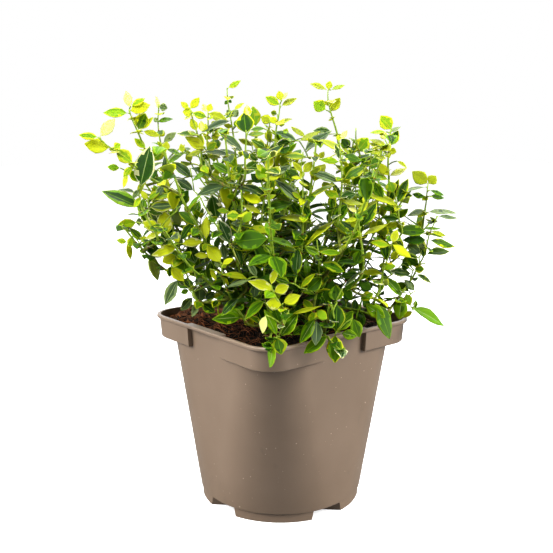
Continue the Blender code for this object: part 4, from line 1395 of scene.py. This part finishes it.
def pick(thing, test):
    """Go into edit mode with the vertices selected whose place passes a test."""
    focus(thing)
    mesh = thing.data
    picked = [test(vertex.co) for vertex in mesh.vertices]
    mesh.vertices.foreach_set("select", picked)
    mesh.edges.foreach_set("select", [picked[a] and picked[b] for a, b in (edge.vertices for edge in mesh.edges)])
    mesh.polygons.foreach_set("select", [all(picked[i] for i in face.vertices) for face in mesh.polygons])
    bpy.ops.object.mode_set(mode="EDIT")
    bpy.ops.mesh.select_mode(type="VERT")


def leave_edit():
    bpy.ops.object.mode_set(mode="OBJECT")


def apply_place(thing):
    """Put an object's place, turn and size into its mesh."""
    focus(thing)
    bpy.ops.object.transform_apply(location=True, rotation=True, scale=True)


def rounded_plate(height, half_side, corner):
    """A flat square whose corners a vertex bevel has rounded."""
    bpy.ops.object.select_all(action="DESELECT")
    bpy.ops.mesh.primitive_plane_add(size=2 * half_side, location=(0.0, 0.0, height))
    plate = bpy.context.object
    apply_place(plate)
    bpy.ops.object.mode_set(mode="EDIT")
    bpy.ops.mesh.select_mode(type="VERT")
    bpy.ops.mesh.select_all(action="SELECT")
    bpy.ops.mesh.bevel(offset=corner, segments=CORNER_STEPS, affect="VERTICES")
    leave_edit()
    return plate


def loft_plates(name, sections):
    """A closed block bridged through rounded plates: (height, half side, corner radius)."""
    plates = [rounded_plate(*section) for section in sections]
    bpy.ops.object.select_all(action="DESELECT")
    for plate in plates:
        plate.select_set(True)
    bpy.context.view_layer.objects.active = plates[0]
    bpy.ops.object.join()
    block = bpy.context.object
    block.name = name
    pick(block, lambda place: True)
    bpy.ops.mesh.delete(type="ONLY_FACE")
    leave_edit()
    heights = [section[0] for section in sections]
    for low, high in zip(heights, heights[1:]):
        pick(block, lambda place: min(abs(place.z - low), abs(place.z - high)) < 1e-6)
        bpy.ops.mesh.bridge_edge_loops()
        leave_edit()
    for end in (heights[0], heights[-1]):
        pick(block, lambda place: abs(place.z - end) < 1e-6)
        bpy.ops.mesh.edge_face_add()
        leave_edit()
    pick(block, lambda place: True)
    bpy.ops.mesh.normals_make_consistent(inside=False)
    leave_edit()
    return block


def carve(target, operation, tool):
    """Join, cut or intersect with another block, which is then removed."""
    focus(target)
    modifier = target.modifiers.new(operation.lower(), "BOOLEAN")
    modifier.operation = operation
    modifier.solver = "EXACT"
    modifier.object = tool
    bpy.ops.object.modifier_apply(modifier=modifier.name)
    bpy.data.objects.remove(tool, do_unlink=True)


# %% The pot's sizes, as in the frame
COLLAR_LOW = 0.142
LIP_HALF_SIDE = 0.085
LIP_CORNER = 0.0225
LIP_LOW = 0.159
LIP_EASE = 0.0007
COLLAR_HALF_SIDE = 0.0834
COLLAR_CORNER = 0.0225
COLLAR_WALL = 0.0012
COLLAR_TAPER = 0.0012
BODY_TOP = (0.0793, 0.0362)
BODY_BASE = (0.0713, 0.0693)
FOOT_HEIGHT = 0.0075
WALL = 0.0016
POT_FLOOR = 0.0097
RECESS_WIDTH = 0.046
RECESS_REACH = 0.030


def body_plate(height, inset):
    """The body's rounded square at a height."""
    share = (height - FOOT_HEIGHT) / (POT_HEIGHT - FOOT_HEIGHT)
    half, corner = (base + (top - base) * share for base, top in zip(BODY_BASE, BODY_TOP))
    return height, half - inset, corner - inset


def collar_plate(height, inset):
    """The collar's rounded square at a height."""
    share = (POT_HEIGHT - height) / (POT_HEIGHT - COLLAR_LOW)
    return height, COLLAR_HALF_SIDE - COLLAR_TAPER * share - inset, COLLAR_CORNER - inset


def recess_block(side, low, high, widen):
    """A box at the middle of one side, where the collar is interrupted."""
    turn = math.pi / 2 * side
    bpy.ops.object.select_all(action="DESELECT")
    middle = (COLLAR_HALF_SIDE * math.cos(turn), COLLAR_HALF_SIDE * math.sin(turn), (low + high) / 2)
    bpy.ops.mesh.primitive_cube_add(size=1.0, location=middle, rotation=(0.0, 0.0, turn))
    block = bpy.context.object
    block.scale = (RECESS_REACH, RECESS_WIDTH + 2 * widen, high - low)
    apply_place(block)
    return block


def recessed_collar(name, sections, widen):
    """The collar's block with its four mid-side recesses cut out."""
    block = loft_plates(name, sections)
    for side in range(4):
        carve(block, "DIFFERENCE", recess_block(side, sections[0][0] - 0.005, sections[-1][0] + 0.005, widen))
    return block


# %% One foot, spun from its section and trimmed
FOOT_OUTER = 0.0708
FOOT_INNER = 0.0560
FOOT_SWEEP = 100.0
FOOT_WIDTHS = (0.069, 0.090, 0.069, 0.090)
FOOT_SLANT = 0.0024
FOOT_ROOT = 0.0012
SLAB_SPARE = 0.004


def foot_slab(width, turn):
    """A block with slanted sides that trims a foot to its width."""
    high = FOOT_HEIGHT + FOOT_ROOT
    bpy.ops.object.select_all(action="DESELECT")
    bpy.ops.mesh.primitive_cube_add(size=1.0, location=(FOOT_OUTER, 0.0, high / 2))
    slab = bpy.context.object
    slab.scale = (FOOT_OUTER, width, high + SLAB_SPARE)
    apply_place(slab)
    pick(slab, lambda place: place.z < 0.0)
    bpy.ops.transform.resize(value=(1.0, 1.0 - 2 * FOOT_SLANT / width, 1.0), center_override=(0.0, 0.0, 0.0))
    leave_edit()
    slab.rotation_euler = (0.0, 0.0, turn)
    apply_place(slab)
    return slab


def make_foot(corner):
    """An arc-shaped foot: its section spun round the axis, its ends cut square to the rim."""
    turn = math.radians(45.0 + 90.0 * corner)
    sweep = math.radians(FOOT_SWEEP)
    start = turn + sweep / 2
    middle = (FOOT_INNER + FOOT_OUTER) / 2
    high = FOOT_HEIGHT + FOOT_ROOT
    place = (middle * math.cos(start), middle * math.sin(start), high / 2)
    bpy.ops.object.select_all(action="DESELECT")
    bpy.ops.mesh.primitive_plane_add(size=1.0, location=place, rotation=(math.pi / 2, 0.0, start))
    foot = bpy.context.object
    foot.name = "foot"
    foot.scale = (FOOT_OUTER - FOOT_INNER, high, 1.0)
    apply_place(foot)
    bpy.ops.object.mode_set(mode="EDIT")
    bpy.ops.mesh.select_all(action="SELECT")
    bpy.ops.mesh.spin(steps=2 * CORNER_STEPS, angle=sweep, center=(0.0, 0.0, 0.0), axis=(0.0, 0.0, 1.0))
    bpy.ops.mesh.select_all(action="SELECT")
    bpy.ops.mesh.remove_doubles(threshold=1e-6)
    bpy.ops.mesh.normals_make_consistent(inside=False)
    leave_edit()
    carve(foot, "INTERSECT", foot_slab(FOOT_WIDTHS[corner], turn))
    return foot


# %% Join, hollow and finish the pot
BASE_EASE = 0.0008


def make_pot():
    """The whole moulding, with the same wall as the solid that it stands for."""
    low, half, corner = body_plate(FOOT_HEIGHT, 0.0)
    eased = (low, half - BASE_EASE, corner - BASE_EASE)
    pot = loft_plates("nursery_pot", [eased, body_plate(FOOT_HEIGHT + BASE_EASE, 0.0), body_plate(POT_HEIGHT, 0.0)])
    collar_sections = [
        collar_plate(COLLAR_LOW, LIP_EASE),
        collar_plate(COLLAR_LOW + LIP_EASE, 0.0),
        collar_plate(LIP_LOW + 0.001, 0.0),
    ]
    carve(pot, "UNION", recessed_collar("collar", collar_sections, 0.0))
    lip_sections = [
        (LIP_LOW, LIP_HALF_SIDE - LIP_EASE, LIP_CORNER - LIP_EASE),
        (LIP_LOW + LIP_EASE, LIP_HALF_SIDE, LIP_CORNER),
        (POT_HEIGHT - LIP_EASE, LIP_HALF_SIDE, LIP_CORNER),
        (POT_HEIGHT, LIP_HALF_SIDE - LIP_EASE, LIP_CORNER - LIP_EASE),
    ]
    carve(pot, "UNION", loft_plates("lip", lip_sections))
    for corner in range(4):
        carve(pot, "UNION", make_foot(corner))
    above = POT_HEIGHT + 0.005
    carve(pot, "DIFFERENCE", loft_plates("hollow", [body_plate(POT_FLOOR, WALL), body_plate(above, WALL)]))
    hollow_sections = [collar_plate(COLLAR_LOW + WALL, COLLAR_WALL), collar_plate(above, COLLAR_WALL)]
    carve(pot, "DIFFERENCE", recessed_collar("hollow_collar", hollow_sections, WALL))
    return pot


pot_piece = make_pot()
print("pot:", len(pot_piece.data.vertices), "vertices,", len(pot_piece.data.polygons), "faces")

# %% Drain holes, soft shading and plastic
DRAIN_RADIUS = 0.0055
DRAIN_CIRCLE = 0.0430


def drill_drain(x, y):
    bpy.ops.object.select_all(action="DESELECT")
    bpy.ops.mesh.primitive_cylinder_add(vertices=24, radius=DRAIN_RADIUS, depth=0.01, location=(x, y, FOOT_HEIGHT))
    apply_place(bpy.context.object)
    carve(pot_piece, "DIFFERENCE", bpy.context.object)


drill_drain(0.0, 0.0)
for side in range(4):
    drill_drain(DRAIN_CIRCLE * math.cos(math.pi / 2 * side), DRAIN_CIRCLE * math.sin(math.pi / 2 * side))
focus(pot_piece)
bpy.ops.object.shade_smooth_by_angle(angle=math.radians(28.0))
pot_piece.data.materials.clear()
pot_piece.data.materials.append(pot_plastic)
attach(pot_piece, "root")
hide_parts("pot")

# %% [markdown]
# ## Potting mix and root crown
# The mix is a loose, fibrous heap that fills the pot to a finger's breadth below its lip,
# higher behind on the left. A fine grid is displaced with two noises, pulled up in two
# places with proportional editing, closed into a block and cut to the pot's inside.

# %% The heap
MIX_CLEARANCE = 0.0003
MIX_LEVEL = 0.1478
MIX_GRID = 130
MIX_SIZE = 0.174
# Right of the axis, away from the camera, rise and reach of each mound
MOUNDS = (
    (-0.055, 0.035, 0.006, 0.055), (0.0, 0.0, 0.0045, 0.05),
    (-0.085, 0.010, 0.008, 0.05), (0.075, 0.0, 0.005, 0.04),
)


def displace(thing, name, size, strength):
    """Push a surface up and down by a cloudy noise."""
    texture = bpy.data.textures.new(name, "CLOUDS")
    texture.noise_scale = size
    texture.noise_depth = 3
    focus(thing)
    modifier = thing.modifiers.new(name, "DISPLACE")
    modifier.texture = texture
    modifier.texture_coords = "LOCAL"
    modifier.direction = "Z"
    modifier.strength = strength
    bpy.ops.object.modifier_apply(modifier=modifier.name)


def make_heap():
    bpy.ops.object.select_all(action="DESELECT")
    bpy.ops.mesh.primitive_grid_add(
        x_subdivisions=MIX_GRID, y_subdivisions=MIX_GRID, size=MIX_SIZE, location=(0.0, 0.0, MIX_LEVEL)
    )
    heap = bpy.context.object
    heap.name = "potting_mix_fill"
    apply_place(heap)
    displace(heap, "clods", 0.016, 0.0055)
    displace(heap, "crumbs", 0.0035, 0.0030)
    for right, away, rise, size in MOUNDS:
        place = view_place(right, away, 0.0)
        pick(heap, lambda spot: math.hypot(spot.x - place.x, spot.y - place.y) < 0.004)
        bpy.ops.transform.translate(
            value=(0.0, 0.0, rise),
            use_proportional_edit=True,
            proportional_edit_falloff="SMOOTH",
            proportional_size=size,
        )
        leave_edit()
    pick(heap, lambda spot: True)
    bpy.ops.mesh.extrude_region_move(TRANSFORM_OT_translate={"value": (0.0, 0.0, -0.2)})
    bpy.ops.transform.resize(value=(1.0, 1.0, 0.0))
    bpy.ops.mesh.select_all(action="SELECT")
    bpy.ops.mesh.normals_make_consistent(inside=False)
    leave_edit()
    return heap


def make_mix():
    inset = WALL + MIX_CLEARANCE
    top = POT_HEIGHT + 0.004
    floor = POT_FLOOR + MIX_CLEARANCE
    inside = loft_plates("inside", [body_plate(floor, inset), body_plate(top, inset)])
    shelf = COLLAR_LOW + WALL + MIX_CLEARANCE
    carve(inside, "UNION", recessed_collar("shelf", [collar_plate(shelf, inset), collar_plate(top, inset)], inset))
    heap = make_heap()
    carve(heap, "INTERSECT", inside)
    return heap


mix_piece = make_mix()
focus(mix_piece)
bpy.ops.object.shade_smooth_by_angle(angle=math.radians(50.0))
mix_piece.data.materials.clear()
mix_piece.data.materials.append(mix_finish)
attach(mix_piece, "root")
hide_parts("potting_mix")
print("mix:", len(mix_piece.data.polygons), "faces")

# %% Root crown


def smooth_copy(node, name, finish, angle):
    """A merged copy of a solid, shaded smooth up to an angle."""
    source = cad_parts[node]
    mesh = source.data.copy()
    mesh.transform(source.matrix_world)
    work = bmesh.new()
    work.from_mesh(mesh)
    bmesh.ops.remove_doubles(work, verts=work.verts, dist=0.00002)
    work.to_mesh(mesh)
    work.free()
    mesh.materials.clear()
    mesh.materials.append(finish)
    mesh.shade_smooth()
    mesh.set_sharp_from_angle(angle=math.radians(angle))
    piece = bpy.data.objects.new(name, mesh)
    bpy.context.scene.collection.objects.link(piece)
    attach(piece, "root")
    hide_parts(node)
    return piece


crown_piece = smooth_copy("root_crown", "root_crown_bark", bark_brown, 60.0)

# %% [markdown]
# ## Fibres and crumbs on the mix
# Coir fibres lie on the mix by the hundred: rust-brown behind on the left, almost black in
# front as painted shade, with a few straw-pale ones. Each is a thin bent strand that follows
# the heap's own surface, found by dropping a ray on it.

# %% Strands and crumbs
STRAND_COUNT = 1500
CRUMB_COUNT = 420
PALE_STRANDS = 0.05
BROWN_STRANDS = 0.12
RUST, BROWN_FIBRE, BLACK_FIBRE, STRAW, MOSS = range(5)
mix_surface = BVHTree.FromObject(mix_piece, bpy.context.evaluated_depsgraph_get())


def mix_height(x, y):
    """How high the mix stands at a place, or nothing outside it."""
    hit = mix_surface.ray_cast(Vector((x, y, 0.25)), -UP)[0]
    return None if hit is None or hit.z < 0.13 else hit.z


def strand_colour(x, y, rule):
    """Rustier behind on the left, as the photographed heap is, and mostly black towards the front as painted shade.
    """
    turn = math.radians(-PLANT_TURN)
    right = x * math.cos(turn) - y * math.sin(turn)
    away = x * math.sin(turn) + y * math.cos(turn)
    # Rust behind on the left; the black left towards the front is painted shade
    rust = 0.45 + 8.0 * (away * 0.6 - right)
    if rule.random() < rust:
        return rule.choice((RUST, RUST, BROWN_FIBRE))
    if rule.random() < PALE_STRANDS:
        return rule.choice((STRAW, MOSS))
    return BROWN_FIBRE if rule.random() < BROWN_STRANDS else BLACK_FIBRE


def add_strand(collector, rule):
    """One bent fibre with three sides."""
    x, y = rule.uniform(-0.078, 0.078), rule.uniform(-0.078, 0.078)
    bearing = rule.uniform(0.0, 2 * math.pi)
    bend = rule.uniform(-0.5, 0.5)
    length = rule.uniform(0.005, 0.022)
    arch = rule.uniform(0.0, 0.0030)
    steps = 5
    spine = []
    for step in range(steps + 1):
        height = mix_height(x, y)
        if height is None:
            return
        share = step / steps
        spine.append(Vector((x, y, height + 0.0002 + arch * math.sin(math.pi * share))))
        bearing += bend / steps
        x += math.cos(bearing) * length / steps
        y += math.sin(bearing) * length / steps
    radius = rule.uniform(0.00014, 0.00034)
    colour = strand_colour(x, y, rule)
    points = []
    for place, (a, b) in zip(spine, list(zip(spine, spine[1:])) + [(spine[-2], spine[-1])]):
        first, second = side_axes((b - a).normalized())
        for side in range(3):
            angle = 2 * math.pi * side / 3
            points.append(place + radius * (math.cos(angle) * first + math.sin(angle) * second))
    faces = [(2, 1, 0), tuple(3 * steps + i for i in range(3))]
    for step in range(steps):
        for i in range(3):
            j = (i + 1) % 3
            faces.append((3 * step + i, 3 * step + j, 3 * step + 3 + j, 3 * step + 3 + i))
    collector.add(points, faces, [colour] * len(faces))


def add_crumb(collector, rule):
    """A lump of peat: an octahedron with uneven arms."""
    x, y = rule.uniform(-0.077, 0.077), rule.uniform(-0.077, 0.077)
    height = mix_height(x, y)
    if height is None:
        return
    size = rule.uniform(0.0005, 0.0019)
    centre = Vector((x, y, height + size * 0.3))
    turn = Matrix.Rotation(rule.uniform(0.0, math.pi), 3, "Z")
    arms = [Vector(arm) for arm in ((1, 0, 0), (0, 1, 0), (-1, 0, 0), (0, -1, 0), (0, 0, 1), (0, 0, -1))]
    points = [centre + turn @ arm * size * rule.uniform(0.6, 1.2) for arm in arms]
    faces = [(0, 1, 4), (1, 2, 4), (2, 3, 4), (3, 0, 4), (1, 0, 5), (2, 1, 5), (3, 2, 5), (0, 3, 5)]
    colour = strand_colour(x, y, rule)
    collector.add(points, faces, [colour] * len(faces))


litter = Collector()
litter_rule = random.Random(SEED + 7)
for strand in range(STRAND_COUNT):
    add_strand(litter, litter_rule)
for crumb in range(CRUMB_COUNT):
    add_crumb(litter, litter_rule)
litter_piece = litter.make("coir_fibres_and_crumbs", fibre_finishes)
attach(litter_piece, "root")
print("fibres and crumbs:", len(litter.faces), "faces")

# %% [markdown]
# ## Floor, light and camera
# The photograph was taken on white in soft light, stronger from the upper left and weak
# from where the camera stands, which is why the pot's front corner is its darkest part. A
# pale floor, a dim white surround and soft lamps at both sides, above and behind do that.
# The camera stands 0.69 m in front of the pot's corner and looks down a little.

# %% Floor
CAMERA_BEARING = PLANT_TURN
FLOOR_GLOW = 0.62
FLOOR_BOUNCE = 0.12


def make_floor_finish():
    """White to the eye, but a dull bounce for all other light, as on a glass table."""
    material, tree, shader = new_finish("white_table", (0.90, 0.90, 0.90), 0.8)
    shader.inputs["Specular IOR Level"].default_value = 0.0
    shader.inputs["Emission Color"].default_value = (1.0, 1.0, 1.0, 1.0)
    shader.inputs["Emission Strength"].default_value = FLOOR_GLOW
    dull = tree.nodes.new("ShaderNodeBsdfDiffuse")
    dull.inputs["Color"].default_value = (FLOOR_BOUNCE, FLOOR_BOUNCE, FLOOR_BOUNCE, 1.0)
    which = tree.nodes.new("ShaderNodeLightPath")
    mix = tree.nodes.new("ShaderNodeMixShader")
    tree.links.new(which.outputs["Is Camera Ray"], mix.inputs["Fac"])
    tree.links.new(dull.outputs["BSDF"], mix.inputs[1])
    tree.links.new(shader.outputs["BSDF"], mix.inputs[2])
    tree.links.new(mix.outputs["Shader"], tree.nodes["Material Output"].inputs["Surface"])
    return material


bpy.ops.object.select_all(action="DESELECT")
bpy.ops.mesh.primitive_plane_add(size=12.0, location=(0.0, 0.0, -0.0002))
floor = bpy.context.object
floor.name = "studio_floor"
floor.data.materials.append(make_floor_finish())

# %% Surround and lamps
FRONT_LIGHT = 0.085
BACK_LIGHT = 1.00


def make_world():
    """White to the eye; as a light, dim behind the camera and bright behind the plant."""
    world = bpy.data.worlds.new("white_surround")
    world.use_nodes = True
    tree = world.node_tree
    light = tree.nodes["Background"]
    light.inputs["Color"].default_value = (1.0, 1.0, 1.0, 1.0)
    way = tree.nodes.new("ShaderNodeTexCoord")
    turned = tree.nodes.new("ShaderNodeMapping")
    turned.vector_type = "POINT"
    turned.inputs["Rotation"].default_value = (0.0, 0.0, -math.radians(CAMERA_BEARING))
    parts = tree.nodes.new("ShaderNodeSeparateXYZ")
    spread = tree.nodes.new("ShaderNodeMapRange")
    spread.interpolation_type = "SMOOTHSTEP"
    spread.inputs["From Min"].default_value = -0.6
    spread.inputs["From Max"].default_value = 0.9
    spread.inputs["To Min"].default_value = FRONT_LIGHT
    spread.inputs["To Max"].default_value = BACK_LIGHT
    tree.links.new(way.outputs["Generated"], turned.inputs["Vector"])
    tree.links.new(turned.outputs["Vector"], parts.inputs["Vector"])
    tree.links.new(parts.outputs["Y"], spread.inputs["Value"])
    tree.links.new(spread.outputs["Result"], light.inputs["Strength"])
    seen = tree.nodes.new("ShaderNodeBackground")
    seen.inputs["Color"].default_value = (1.0, 1.0, 1.0, 1.0)
    seen.inputs["Strength"].default_value = 1.0
    which = tree.nodes.new("ShaderNodeLightPath")
    mix = tree.nodes.new("ShaderNodeMixShader")
    tree.links.new(which.outputs["Is Camera Ray"], mix.inputs["Fac"])
    tree.links.new(light.outputs["Background"], mix.inputs[1])
    tree.links.new(seen.outputs["Background"], mix.inputs[2])
    tree.links.new(mix.outputs["Shader"], tree.nodes["World Output"].inputs["Surface"])
    bpy.context.scene.world = world


def add_lamp(name, azimuth, elevation, distance, size, power):
    """A square soft lamp on a sphere round the plant, aimed at it."""
    turn = math.radians(azimuth)
    rise = math.radians(elevation)
    aim = Vector((0.0, 0.0, 0.18))
    away = Vector((math.sin(turn) * math.cos(rise), -math.cos(turn) * math.cos(rise), math.sin(rise)))
    data = bpy.data.lights.new(name, "AREA")
    data.size = size
    data.energy = power
    lamp = bpy.data.objects.new(name, data)
    lamp.location = aim + away * distance
    lamp.rotation_euler = (-away).to_track_quat("-Z", "Y").to_euler()
    bpy.context.scene.collection.objects.link(lamp)


make_world()
add_lamp("left_lamp", CAMERA_BEARING - 74.0, 26.0, 1.4, 0.8, 33.0)
add_lamp("right_lamp", CAMERA_BEARING + 78.0, 24.0, 1.4, 0.8, 35.0)
add_lamp("top_lamp", CAMERA_BEARING - 20.0, 70.0, 1.5, 0.9, 20.0)
add_lamp("back_lamp", CAMERA_BEARING + 180.0, 45.0, 1.6, 1.2, 16.0)
bpy.context.scene.view_settings.view_transform = "Standard"
